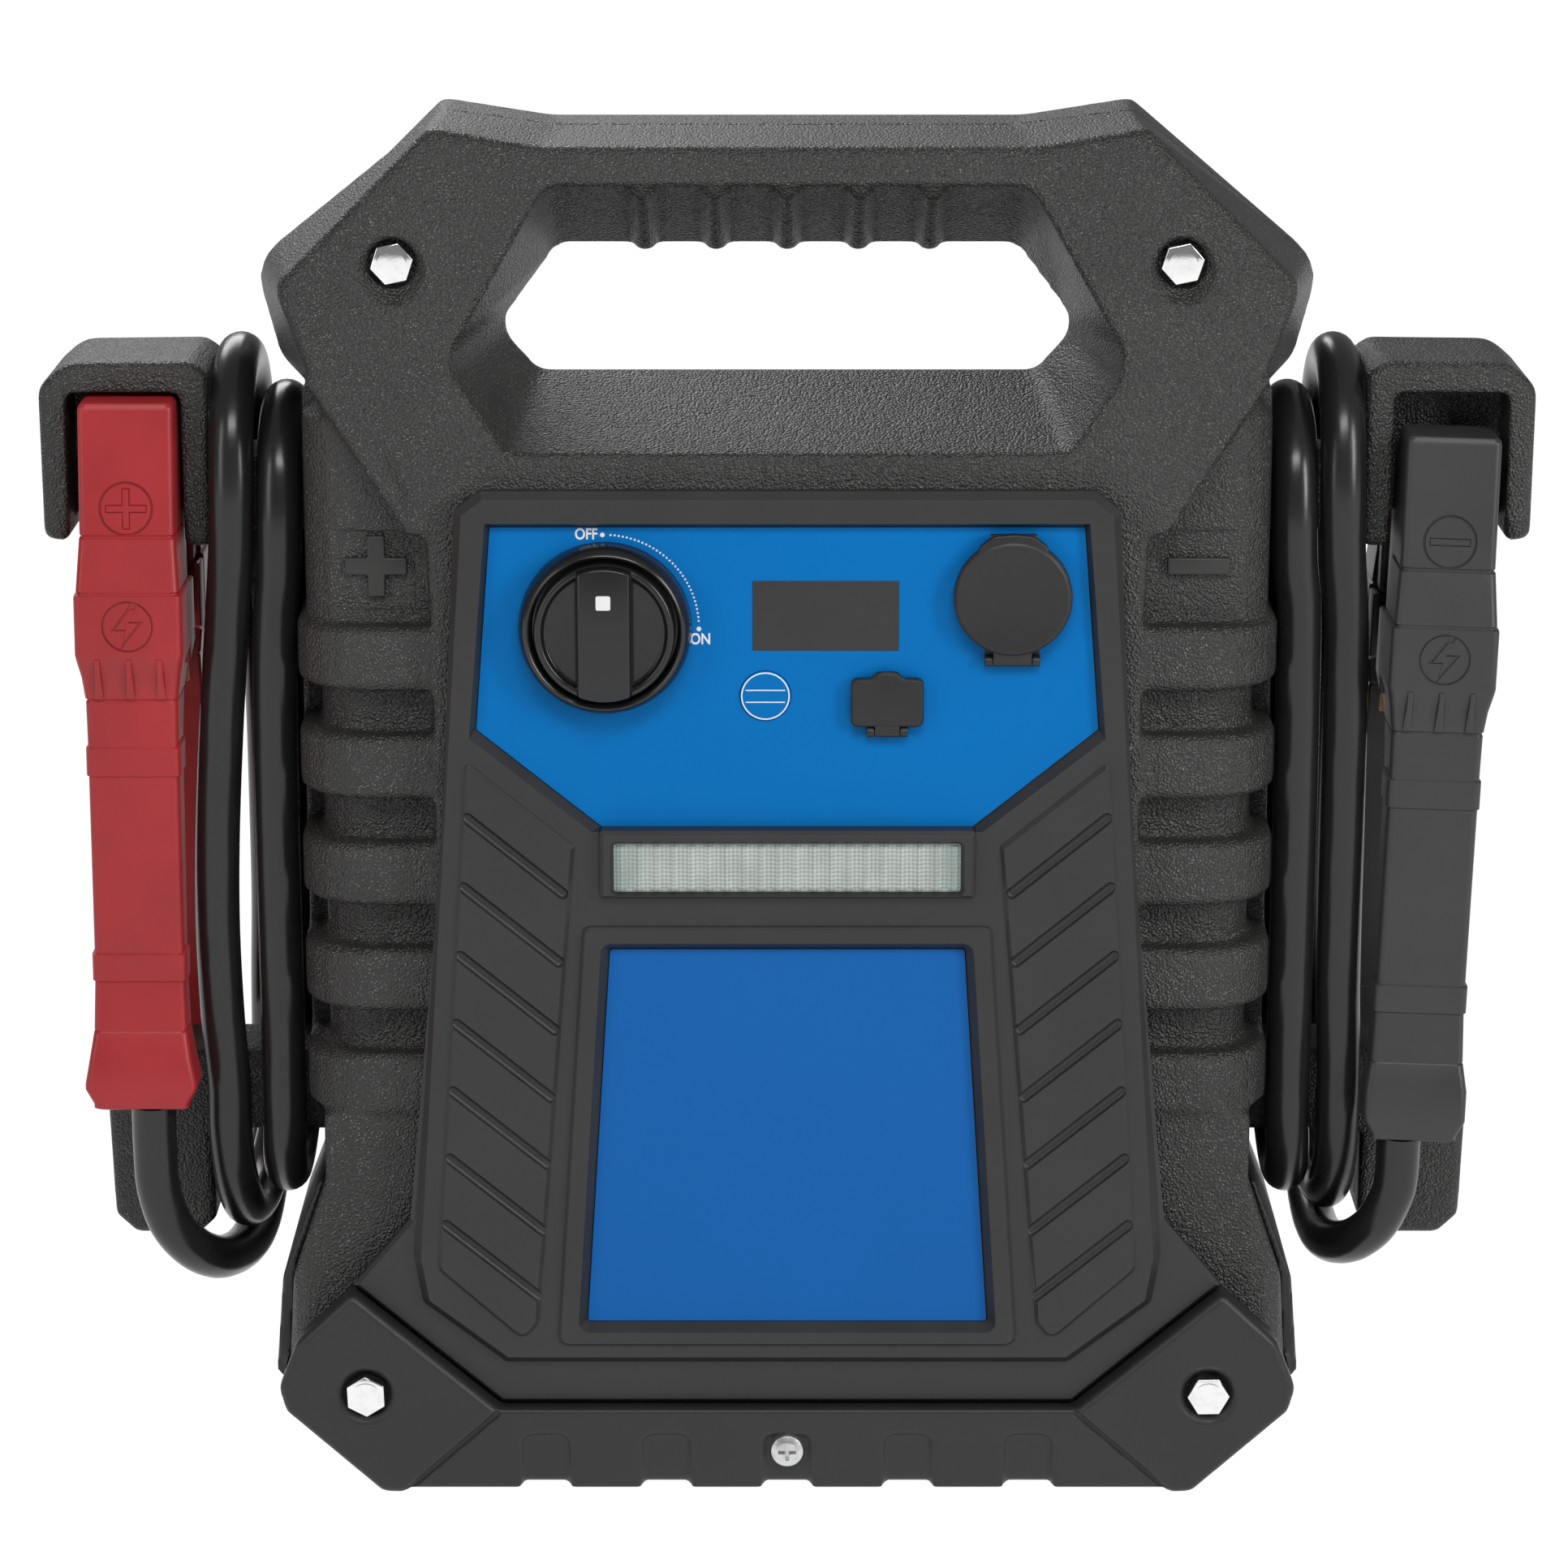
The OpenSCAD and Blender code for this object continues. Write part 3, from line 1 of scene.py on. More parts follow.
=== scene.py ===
import json
import math
import bmesh
import bpy
from mathutils import Matrix, Vector
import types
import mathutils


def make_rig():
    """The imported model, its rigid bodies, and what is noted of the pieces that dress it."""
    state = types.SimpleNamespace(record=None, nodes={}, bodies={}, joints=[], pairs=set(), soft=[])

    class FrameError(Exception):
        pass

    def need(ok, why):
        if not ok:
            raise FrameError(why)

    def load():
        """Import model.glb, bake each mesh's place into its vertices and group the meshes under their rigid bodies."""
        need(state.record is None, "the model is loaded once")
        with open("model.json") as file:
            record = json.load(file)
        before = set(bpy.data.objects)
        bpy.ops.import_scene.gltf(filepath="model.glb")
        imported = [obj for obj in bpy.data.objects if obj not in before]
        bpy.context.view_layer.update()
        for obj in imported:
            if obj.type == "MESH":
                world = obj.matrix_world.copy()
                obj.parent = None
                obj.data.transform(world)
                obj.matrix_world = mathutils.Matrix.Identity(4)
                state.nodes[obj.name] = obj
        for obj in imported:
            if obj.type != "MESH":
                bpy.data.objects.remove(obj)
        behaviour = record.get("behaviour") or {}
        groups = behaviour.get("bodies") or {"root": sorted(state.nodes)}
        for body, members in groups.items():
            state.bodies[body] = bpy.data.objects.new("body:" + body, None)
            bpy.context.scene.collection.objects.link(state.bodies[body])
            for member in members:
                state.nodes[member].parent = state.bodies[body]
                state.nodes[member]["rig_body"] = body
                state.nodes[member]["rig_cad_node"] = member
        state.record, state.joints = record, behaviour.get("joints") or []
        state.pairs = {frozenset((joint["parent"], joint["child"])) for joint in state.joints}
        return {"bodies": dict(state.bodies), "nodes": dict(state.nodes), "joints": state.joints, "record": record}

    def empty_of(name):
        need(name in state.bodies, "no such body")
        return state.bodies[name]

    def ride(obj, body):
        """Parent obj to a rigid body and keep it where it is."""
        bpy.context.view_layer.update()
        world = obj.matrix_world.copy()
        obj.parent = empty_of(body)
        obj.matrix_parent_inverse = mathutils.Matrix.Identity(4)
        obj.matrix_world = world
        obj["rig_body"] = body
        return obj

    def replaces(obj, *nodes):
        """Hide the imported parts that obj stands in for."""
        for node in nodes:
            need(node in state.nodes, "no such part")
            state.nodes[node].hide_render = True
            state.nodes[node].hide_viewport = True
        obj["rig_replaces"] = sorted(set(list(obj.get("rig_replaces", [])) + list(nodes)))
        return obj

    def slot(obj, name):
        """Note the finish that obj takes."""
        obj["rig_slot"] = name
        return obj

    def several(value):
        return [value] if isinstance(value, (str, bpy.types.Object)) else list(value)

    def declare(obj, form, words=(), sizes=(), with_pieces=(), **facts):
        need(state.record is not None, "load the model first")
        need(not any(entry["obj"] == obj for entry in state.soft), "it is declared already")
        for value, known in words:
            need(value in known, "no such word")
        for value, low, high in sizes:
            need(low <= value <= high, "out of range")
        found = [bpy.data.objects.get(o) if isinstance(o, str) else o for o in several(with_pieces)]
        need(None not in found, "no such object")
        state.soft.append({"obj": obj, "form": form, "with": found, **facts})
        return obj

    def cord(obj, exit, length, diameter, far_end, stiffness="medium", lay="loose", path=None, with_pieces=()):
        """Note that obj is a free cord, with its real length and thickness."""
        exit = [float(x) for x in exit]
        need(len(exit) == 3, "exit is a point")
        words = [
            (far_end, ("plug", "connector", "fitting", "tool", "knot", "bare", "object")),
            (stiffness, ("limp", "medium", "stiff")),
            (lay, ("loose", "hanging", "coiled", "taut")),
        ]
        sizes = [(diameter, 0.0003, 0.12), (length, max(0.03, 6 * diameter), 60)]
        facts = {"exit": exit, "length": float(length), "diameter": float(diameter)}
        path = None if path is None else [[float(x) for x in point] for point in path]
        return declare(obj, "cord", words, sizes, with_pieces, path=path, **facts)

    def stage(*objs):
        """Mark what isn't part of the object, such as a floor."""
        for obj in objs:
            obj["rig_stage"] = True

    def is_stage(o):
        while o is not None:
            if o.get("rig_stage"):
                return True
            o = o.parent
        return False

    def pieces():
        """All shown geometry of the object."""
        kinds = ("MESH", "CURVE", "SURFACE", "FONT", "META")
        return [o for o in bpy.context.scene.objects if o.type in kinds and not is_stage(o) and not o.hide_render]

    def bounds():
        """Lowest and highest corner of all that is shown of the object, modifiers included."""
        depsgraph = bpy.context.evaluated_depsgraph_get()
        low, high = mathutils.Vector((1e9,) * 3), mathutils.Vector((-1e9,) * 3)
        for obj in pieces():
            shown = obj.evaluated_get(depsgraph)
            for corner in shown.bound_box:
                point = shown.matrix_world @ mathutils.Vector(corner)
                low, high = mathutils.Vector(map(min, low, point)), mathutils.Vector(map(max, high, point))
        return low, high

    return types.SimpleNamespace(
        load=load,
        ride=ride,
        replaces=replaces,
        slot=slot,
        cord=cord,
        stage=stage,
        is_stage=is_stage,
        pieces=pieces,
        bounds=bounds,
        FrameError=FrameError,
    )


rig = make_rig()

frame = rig.load()
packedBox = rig.bounds()
print("frame loaded:", len(frame["nodes"]), "nodes on", len(frame["bodies"]), "bodies")

mm = 0.001  # shapes are drawn in millimetres, the scene is in metres


# camera: change these to frame another view

cameraView = {
    "target": (-0.85, -60.0, 200.0),  # millimetres
    "distance": 1300.0,
    "pitch": 15.0,  # degrees down
    "lens": 113.85,
}


def makeCamera(view):
    pitch = math.radians(view["pitch"])
    back = Vector((0, -math.cos(pitch), math.sin(pitch)))
    data = bpy.data.cameras.new("photoCamera")
    data.lens = view["lens"]
    data.sensor_width = 36
    data.clip_start, data.clip_end = 0.05, 50
    camera = bpy.data.objects.new("photoCamera", data)
    camera.location = (Vector(view["target"]) + back * view["distance"]) * mm
    camera.rotation_euler = (math.radians(90) - pitch, 0, 0)
    bpy.context.scene.collection.objects.link(camera)
    bpy.context.scene.camera = camera


makeCamera(cameraView)


# shader sums as Python sums


class Wire:  # the output of a shader node, used in sums
    def __init__(self, finish, socket):
        self.finish, self.socket = finish, socket

    def sum(self, operation, *values):
        return self.finish.add("ShaderNodeMath", dict(enumerate(values)), operation=operation)

    def __add__(self, other):
        return self.sum("ADD", self, other)

    def __sub__(self, other):
        return self.sum("SUBTRACT", self, other)

    def __rsub__(self, other):
        return self.sum("SUBTRACT", other, self)

    def __mul__(self, other):
        return self.sum("MULTIPLY", self, other)

    def __truediv__(self, other):
        return self.sum("DIVIDE", self, other)

    __radd__, __rmul__ = __add__, __mul__

    def wave(self):
        return self.sum("SINE", self)

    def size(self):
        return self.sum("ABSOLUTE", self)

    def most(self, other):
        return self.sum("MAXIMUM", self, other)

    def step(self, low, high):  # 0 below low, 1 above high, smooth between
        return self.finish.add("ShaderNodeMapRange", {0: self, 1: low, 2: high, 3: 0.0, 4: 1.0},
                               interpolation_type="SMOOTHSTEP")


class Finish:  # one material and its nodes
    def __init__(self, name, **constants):
        self.material = bpy.data.materials.new(name)
        self.material.use_nodes = True
        self.nodes = self.material.node_tree.nodes
        self.links = self.material.node_tree.links
        self.shader = self.nodes["Principled BSDF"]
        for socket, value in constants.items():
            self.set(socket.replace("_", " "), value)

    def add(self, kind, sockets, output=0, **settings):
        made = self.nodes.new(kind)
        for key, value in settings.items():
            setattr(made, key, value)
        for key, value in sockets.items():
            self.plug(made.inputs[key], value)
        return Wire(self, made.outputs[output])

    def plug(self, socket, value):
        if isinstance(value, Wire):
            self.links.new(value.socket, socket)
        elif socket.type == "RGBA" and len(value) == 3:
            socket.default_value = (*value, 1)
        else:
            socket.default_value = value

    def set(self, socket, value):
        self.plug(self.shader.inputs[socket], value)

    def place(self, turn=(0, 0, 0)):  # object coordinates in millimetres
        coordinates = self.add("ShaderNodeTexCoord", {}, "Object")
        return self.add("ShaderNodeMapping", {"Vector": coordinates, "Scale": (1000, 1000, 1000),
                                              "Rotation": turn})

    def apart(self, where):  # its x, y and z
        made = self.nodes.new("ShaderNodeSeparateXYZ")
        self.plug(made.inputs[0], where)
        return [Wire(self, socket) for socket in made.outputs]

    def noise(self, where, grain, detail=3.0, roughness=0.55):  # grain in millimetres
        return self.add("ShaderNodeTexNoise", {"Vector": where, "Scale": 1 / grain, "Detail": detail,
                                               "Roughness": roughness})

    def cells(self, where, grain, smoothness=0.5):
        return self.add("ShaderNodeTexVoronoi", {"Vector": where, "Scale": 1 / grain,
                                                 "Smoothness": smoothness}, feature="SMOOTH_F1")

    def mix(self, factor, first, second):
        return self.add("ShaderNodeMix", {0: factor, 6: first, 7: second}, 2, data_type="RGBA")

    def bump(self, height, distance, strength=1.0, under=None):  # distance in millimetres
        sockets = {"Height": height, "Distance": distance * mm, "Strength": strength}
        if under is not None:
            sockets["Normal"] = under
        return self.add("ShaderNodeBump", sockets)


def lighter(colour, by):
    return [min(1.0, c * by) for c in colour]


# finishes

grain = {"pebble": 0.72, "depth": 0.4, "roughness": 0.36, "glint": 0.2, "wear": 0.14}  # moulded leather grain


def grainedPlastic(name, colour):
    finish = Finish(name, IOR=1.5)
    where = finish.place()
    warp = finish.noise(where, 3.0, 2)
    pebbles = finish.cells(where, grain["pebble"], 0.3)
    fine = finish.noise(where, 0.5, 3, 0.6)
    patches = finish.noise(where, 46, 3, 0.55)
    # patches that vary the roughness and say where the painted glints gather
    roughnessAndGlintPatches = finish.noise(where, 7, 4, 0.65)
    height = 1 - pebbles * 1.2 + fine * 0.3 + warp * 0.25
    tone = finish.mix(patches.step(0.3, 0.72), lighter(colour, 1 - grain["wear"]),
                      lighter(colour, 1 + grain["wear"]))
    tops = height.step(0.75, 1.15)
    # painted glints: bright specks on the tops of some pebbles, painted ten times lighter into the base colour
    paintedGlints = (0.3 - pebbles).step(0.0, 0.12) * finish.noise(where, 1.5, 2, 0.6).step(0.42, 0.58)
    # pebble tops painted lighter, part wear and part painted sheen
    wearAndPaintedSheen = finish.mix(tops * 0.4, tone, lighter(colour, 1.7))
    finish.set("Base Color", finish.mix(paintedGlints * (roughnessAndGlintPatches.step(0.3, 0.62) * 0.9), wearAndPaintedSheen, lighter(colour, 10)))
    finish.set("Roughness", grain["roughness"] - tops * grain["glint"] + roughnessAndGlintPatches * 0.1)
    finish.set("Normal", finish.bump(height, grain["depth"]))
    return finish.material


def satinPlastic(name, colour, grainSize=0.5, depth=0.02, roughness=0.42, cloud=0.1, scratch=0.0):
    finish = Finish(name, IOR=1.5)
    where = finish.place()
    texture = finish.noise(where, grainSize, 3, 0.6)
    clouds = finish.noise(where, 30, 3, 0.55)
    tone = finish.mix(clouds.step(0.3, 0.7), lighter(colour, 1 - cloud), lighter(colour, 1 + cloud))
    rough = clouds * 0.12 + texture * 0.08 + (roughness - 0.1)
    if scratch:
        marks = finish.noise(finish.place((0.4, 0.9, 0.3)), 6, 5, 0.75).step(0.62, 0.7)
        tone = finish.mix(marks * scratch, tone, lighter(colour, 2.2))
        rough = rough + marks * 0.12
    finish.set("Base Color", tone)
    finish.set("Roughness", rough)
    finish.set("Normal", finish.bump(texture, depth))
    return finish.material


def printedFilm(name, colour, roughness=0.42):
    finish = Finish(name, IOR=1.46, Specular_IOR_Level=0.15)
    where = finish.place()
    peel = finish.noise(where, 1.1, 2, 0.5)
    ink = finish.noise(where, 40, 2, 0.5)
    finish.set("Base Color", finish.mix(ink, lighter(colour, 0.95), lighter(colour, 1.05)))
    finish.set("Roughness", peel * 0.08 + roughness)
    finish.set("Normal", finish.bump(peel, 0.008))
    return finish.material


def metal(name, colour, roughness=0.12, patina=0.15, brush=0.1, grainSize=0.4):
    finish = Finish(name, Metallic=1.0)
    where = finish.place()
    spots = finish.noise(where, 3.0, 4, 0.6)
    fine = finish.noise(where, grainSize, 3, 0.6)
    finish.set("Base Color", finish.mix(spots.step(0.4, 0.75), colour, lighter(colour, 1 - patina)))
    finish.set("Roughness", spots * 0.08 + fine * brush + roughness)
    finish.set("Normal", finish.bump(fine, 0.01))
    return finish.material


lens = {"cell": 2.2, "halfLength": 45, "halfHeight": 6.5, "z": 177.8}


def prismLens(name, colour):  # pressed diamond cells, with the light of a bright reflector behind them painted in, and painted shade that darkens the lens towards the rim
    finish = Finish(name, IOR=1.5, Coat_Weight=0.4, Coat_Roughness=0.1)
    x, y, z = finish.apart(finish.place())
    rate = 2 * math.pi / lens["cell"]
    cells = ((x + z) * rate).wave() * ((x - z) * rate).wave()
    soft = finish.noise(finish.place(), 9, 2, 0.5)
    # painted light: the reflector's brightness through the cells, painted into the base colour
    glow = (cells * 0.5 + 0.5) * 0.5 + soft * 0.5
    high, wide = ((z - lens["z"]) / lens["halfHeight"]).size(), (x / lens["halfLength"]).size()
    # painted shade towards the rim of the lens
    far = high.most(wide).step(0.76, 1.02)
    tone = finish.mix(glow.step(0.25, 0.8), lighter(colour, 0.7), lighter(colour, 1.1))
    finish.set("Base Color", finish.mix(far * 0.6, tone, (0.2, 0.29, 0.26)))
    finish.set("Roughness", soft * 0.2 + 0.22)
    finish.set("Normal", finish.bump(cells, 0.12))
    return finish.material


def clearWindow(name):
    finish = Finish(name, IOR=1.49, Transmission_Weight=0.96)
    haze = finish.noise(finish.place(), 12, 3, 0.6)
    finish.set("Base Color", finish.mix(haze, (0.93, 0.96, 0.97), (0.98, 0.99, 1.0)))
    finish.set("Roughness", haze * 0.05 + 0.02)
    return finish.material


def cableJacket(name, colour):
    finish = Finish(name, IOR=1.5)
    where = finish.place()
    clouds = finish.noise(where, 22, 3, 0.6)
    dust = finish.noise(where, 1.8, 5, 0.7)
    ripple = finish.noise(where, 7, 2, 0.5)
    finish.set("Base Color", finish.mix(dust.step(0.55, 0.8) * 0.5, colour, lighter(colour, 1.9)))
    finish.set("Roughness", clouds * 0.1 + dust * 0.08 + 0.17)
    finish.set("Normal", finish.bump(ripple, 0.05))
    return finish.material


def circuitBoard(name):
    finish = Finish(name, Roughness=0.4)
    where = finish.place()
    copper = finish.cells(where, 3.0, 0.1).step(0.3, 0.34)
    finish.set("Base Color", finish.mix(copper, (0.015, 0.13, 0.05), (0.02, 0.2, 0.08)))
    finish.set("Normal", finish.bump(copper, 0.04))
    return finish.material


finishes = {
    "shell": grainedPlastic("shellCharcoal", (0.026, 0.0252, 0.0242)),
    "sign": satinPlastic("signCharcoal", (0.028, 0.027, 0.026), 0.6, 0.03, 0.45),
    "bezel": satinPlastic("bezelSatin", (0.0245, 0.024, 0.0238), 0.55, 0.035, 0.4),
    "bumper": satinPlastic("bumperPlastic", (0.021, 0.0205, 0.020), 0.7, 0.05, 0.46, 0.08, 0.1),
    "feet": satinPlastic("footRubber", (0.018, 0.018, 0.018), 0.6, 0.05, 0.62),
    "label": printedFilm("controlFilm", (0.0, 0.165, 0.50)),
    "plaque": printedFilm("plaqueFilm", (0.009, 0.130, 0.445)),
    "print": printedFilm("whiteInk", (0.88, 0.88, 0.88), 0.5),
    "display": satinPlastic("displayWindow", (0.023, 0.0225, 0.023), 0.4, 0.003, 0.34),
    "board": circuitBoard("boardGreen"),
    "control": satinPlastic("knobBlack", (0.010, 0.010, 0.0105), 0.4, 0.006, 0.24),
    "cap": satinPlastic("capRubber", (0.015, 0.0147, 0.0153), 0.45, 0.03, 0.44, 0.08, 0.08),
    "switch": satinPlastic("switchBody", (0.25, 0.05, 0.03)),
    "lens": prismLens("lightLens", (0.50, 0.54, 0.51)),
    "reflector": satinPlastic("lightReflector", (0.8, 0.8, 0.76)),
    "battery": satinPlastic("batteryCase", (0.09, 0.1, 0.11)),
    "leadRed": satinPlastic("leadRed", (0.35, 0.02, 0.02)),
    "leadBlack": satinPlastic("leadBlack", (0.015, 0.015, 0.015)),
    "motor": metal("motorSteel", (0.5, 0.51, 0.52), 0.35),
    "pump": metal("pumpAluminium", (0.6, 0.61, 0.62), 0.42),
    "brass": metal("outletBrass", (0.62, 0.42, 0.14), 0.2),
    "dial": printedFilm("gaugeDial", (0.8, 0.8, 0.78)),
    "ink": printedFilm("blackInk", (0.015, 0.015, 0.015), 0.5),
    "needle": satinPlastic("needleRed", (0.55, 0.03, 0.02)),
    "glass": clearWindow("gaugeWindow"),
    "rocker": satinPlastic("rockerRed", (0.36, 0.014, 0.016), 0.4, 0.005, 0.22),
    "chrome": metal("boltChrome", (0.9, 0.9, 0.9), 0.04, 0.1, 0.04),
    "zinc": metal("screwZinc", (0.68, 0.69, 0.68), 0.24, 0.3),
    "cable": cableJacket("cableJacket", (0.0135, 0.0132, 0.0132)),
    "red": satinPlastic("clampRed", (0.375, 0.020, 0.025), 0.6, 0.03, 0.4, 0.1, 0.04),
    "black": satinPlastic("clampBlack", (0.037, 0.0365, 0.036), 0.6, 0.03, 0.42, 0.08, 0.1),
    "copper": metal("jawCopper", (0.66, 0.31, 0.16), 0.28, 0.45),
    "spring": metal("springSteel", (0.5, 0.51, 0.52), 0.3, 0.3),
}
print("finishes made:", len(finishes))

nodeFinishes = {  # parts inside the housing and small parts that keep their own solid
    "control_board": "board", "power_switch": "switch", "light_board": "reflector",
    "battery": "battery", "positive_lead": "leadRed", "negative_lead": "leadBlack",
    "compressor_motor": "motor", "pump_head": "pump", "gauge_needle": "needle", "gauge_glass": "glass",
    "red_spring": "spring", "black_spring": "spring",
}
for node, made in frame["nodes"].items():
    made.data.materials.clear()
    made.data.materials.append(finishes[nodeFinishes.get(node, "bezel")])


# shaping tools


def sharpen(mesh, degrees=34):
    mesh.shade_smooth()
    mesh.set_sharp_from_angle(angle=math.radians(degrees))


def addPiece(name, shape, body, finish, slot, replaces=(), scale=mm, sharp=34):
    bmesh.ops.scale(shape, verts=shape.verts, vec=(scale, scale, scale))
    mesh = bpy.data.meshes.new(name)
    shape.to_mesh(mesh)
    shape.free()
    sharpen(mesh, sharp)
    mesh.materials.append(finishes[finish])
    made = bpy.data.objects.new(name, mesh)
    bpy.context.scene.collection.objects.link(made)
    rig.ride(made, body)
    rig.slot(made, slot)
    if replaces:
        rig.replaces(made, *replaces)
    return made


def bake(made):  # applies the piece's modifiers
    graph = bpy.context.evaluated_depsgraph_get()
    mesh = bpy.data.meshes.new_from_object(made.evaluated_get(graph))
    old, materials = made.data, list(made.data.materials)
    made.modifiers.clear()
    made.data = mesh
    mesh.materials.clear()
    for material in materials:
        mesh.materials.append(material)
    bpy.data.meshes.remove(old)
    return made


def copyOf(node):  # the node's own mesh in millimetres, its loose triangles joined
    shape = bmesh.new()
    shape.from_mesh(frame["nodes"][node].data)
    bmesh.ops.scale(shape, verts=shape.verts, vec=(1000, 1000, 1000))
    bmesh.ops.remove_doubles(shape, verts=shape.verts, dist=0.01)
    return shape


def roundEdges(shape, width, segments=2, angle=32):
    bmesh.ops.dissolve_limit(shape, angle_limit=math.radians(1.5), verts=shape.verts, edges=shape.edges)
    bmesh.ops.dissolve_degenerate(shape, dist=0.02, edges=shape.edges)
    edges = [e for e in shape.edges if len(e.link_faces) == 2 and e.calc_face_angle(0) > math.radians(angle)]
    bmesh.ops.bevel(shape, geom=edges, offset=width, offset_type="OFFSET", segments=segments, profile=0.5,
                    affect="EDGES", clamp_overlap=True, material=-1)
    return shape


def evenNormals(made):  # keeps large flat faces flat beside their rounded edges
    weighted = made.modifiers.new("normals", "WEIGHTED_NORMAL")
    weighted.keep_sharp = True
    return bake(made)


def pieceName(node):  # front_bezel gives frontBezel
    first, *rest = node.split("_")
    return first + "".join(word.capitalize() for word in rest)


def dressed(node, finish, slot, width=0.35, segments=2, body="pack", name=None):  # a node with its edges rounded
    shape = roundEdges(copyOf(node), width, segments)
    return evenNormals(addPiece(name or pieceName(node), shape, body, finish, slot, (node,), sharp=40))


def rounded(corners, steps=4):  # corners as (x, z, radius)
    points = []
    for i, (x, z, radius) in enumerate(corners):
        here = Vector((x, z))
        before = Vector(corners[i - 1][:2]) - here
        after = Vector(corners[(i + 1) % len(corners)][:2]) - here
        if radius <= 0:
            points.append((x, z))
            continue
        half = before.angle(after) / 2
        reach = radius / math.tan(half)
        centre = here + (before.normalized() + after.normalized()).normalized() * radius / math.sin(half)
        start, end = here + before.normalized() * reach - centre, here + after.normalized() * reach - centre
        swing = start.angle_signed(end)
        for k in range(steps + 1):
            points.append(tuple(centre + Matrix.Rotation(-swing * k / steps, 2) @ start))
    return points


def plate(shape, outline, y0, y1):  # an outline of (x, z) points from y0 back to y1
    face = shape.faces.new([shape.verts.new((x, y0, z)) for x, z in outline])
    back = bmesh.ops.extrude_face_region(shape, geom=[face])["geom"]
    bmesh.ops.translate(shape, verts=[v for v in back if isinstance(v, bmesh.types.BMVert)], vec=(0, y1 - y0, 0))
    bmesh.ops.recalc_face_normals(shape, faces=shape.faces)
    return shape


def slabOf(outline, y0, y1, edge=0.4, segments=2):
    return roundEdges(plate(bmesh.new(), outline, y0, y1), edge, segments)


def brick(shape, low, high):
    middle = [(a + b) / 2 for a, b in zip(low, high)]
    size = [abs(b - a) for a, b in zip(low, high)]
    bmesh.ops.create_cube(shape, size=1, matrix=Matrix.Translation(middle) @ Matrix.Diagonal((*size, 1)))
    return shape


def turned(profile, centre, steps=64):  # profile as (radius, height), the height towards the front
    shape = bmesh.new()
    verts = [shape.verts.new((r, 0, h)) for r, h in profile]
    edges = [shape.edges.new(pair) for pair in zip(verts, verts[1:])]
    bmesh.ops.spin(shape, geom=verts + edges, cent=(0, 0, 0), axis=(0, 0, 1), dvec=(0, 0, 0),
                   angle=2 * math.pi, steps=steps, use_merge=True)
    bmesh.ops.remove_doubles(shape, verts=shape.verts, dist=0.001)
    lay = Matrix.Translation(centre) @ Matrix.Rotation(math.radians(90), 4, "X")
    bmesh.ops.transform(shape, matrix=lay, verts=shape.verts)
    bmesh.ops.recalc_face_normals(shape, faces=shape.faces)
    return shape


def rod(shape, start, end, radius):  # a bar with round ends
    way = Vector(end) - Vector(start)
    turn = way.to_track_quat("Z", "Y").to_matrix().to_4x4()
    made = bmesh.ops.create_uvsphere(shape, u_segments=24, v_segments=16, radius=radius)["verts"]
    for v in made:  # the upper half of the ball moves to the far end
        if v.co.z > 0.001:
            v.co.z += way.length
    bmesh.ops.transform(shape, matrix=Matrix.Translation(start) @ turn, verts=made)
    return shape


def cutBy(made, *cutters):  # takes closed shapes in millimetres out of a finished piece
    for shape in cutters:
        bmesh.ops.scale(shape, verts=shape.verts, vec=(mm, mm, mm))
        bmesh.ops.recalc_face_normals(shape, faces=shape.faces)
        mesh = bpy.data.meshes.new("cutter")
        shape.to_mesh(mesh)
        shape.free()
        tool = bpy.data.objects.new("cutter", mesh)
        bpy.context.scene.collection.objects.link(tool)
        boolean = made.modifiers.new("cut", "BOOLEAN")
        boolean.operation, boolean.solver, boolean.object = "DIFFERENCE", "MANIFOLD", tool
        bake(made)
        bpy.data.objects.remove(tool)
        bpy.data.meshes.remove(mesh)
    return made


def words(text, size, place, squeeze, bold=0.02):  # raised letters that face the front
    curve = bpy.data.curves.new("words", "FONT")
    curve.body, curve.size, curve.extrude, curve.offset = text, size, 0.03, bold
    curve.align_x, curve.align_y = "CENTER", "CENTER"
    made = bpy.data.objects.new("words", curve)
    bpy.context.scene.collection.objects.link(made)
    mesh = bpy.data.meshes.new_from_object(made.evaluated_get(bpy.context.evaluated_depsgraph_get()))
    bpy.data.objects.remove(made)
    bpy.data.curves.remove(curve)
    shape = bmesh.new()
    shape.from_mesh(mesh)
    bpy.data.meshes.remove(mesh)
    lay = Matrix.Translation(place) @ Matrix.Rotation(math.radians(90), 4, "X")
    bmesh.ops.transform(shape, matrix=lay @ Matrix.Diagonal((squeeze, 1, 1, 1)), verts=shape.verts)
    bmesh.ops.remove_doubles(shape, verts=shape.verts, dist=0.0005)
    return shape


def joined(*shapes):
    whole = shapes[0]
    for other in shapes[1:]:
        mesh = bpy.data.meshes.new("part")
        other.to_mesh(mesh)
        other.free()
        whole.from_mesh(mesh)
        bpy.data.meshes.remove(mesh)
    return whole


def mirroredY(shape):  # moves a shape from the front to the back, or the other way
    bmesh.ops.scale(shape, verts=shape.verts, vec=(1, -1, 1))
    bmesh.ops.recalc_face_normals(shape, faces=shape.faces)
    return shape


def mould(node, finish, voxel, rounds, keep, fillers=None):  # a node with soft moulded edges
    shape = joined(copyOf(node), fillers) if fillers else copyOf(node)
    made = addPiece(pieceName(node), shape, "pack", finish, finish, (node,))
    remesh = made.modifiers.new("mould", "REMESH")
    remesh.mode, remesh.voxel_size, remesh.use_smooth_shade = "VOXEL", voxel * mm, True
    smooth = made.modifiers.new("soften", "SMOOTH")
    smooth.factor, smooth.iterations = 0.5, rounds
    made.modifiers.new("thin", "DECIMATE").ratio = keep
    bake(made)
    made.data.shade_smooth()
    return made


# shells

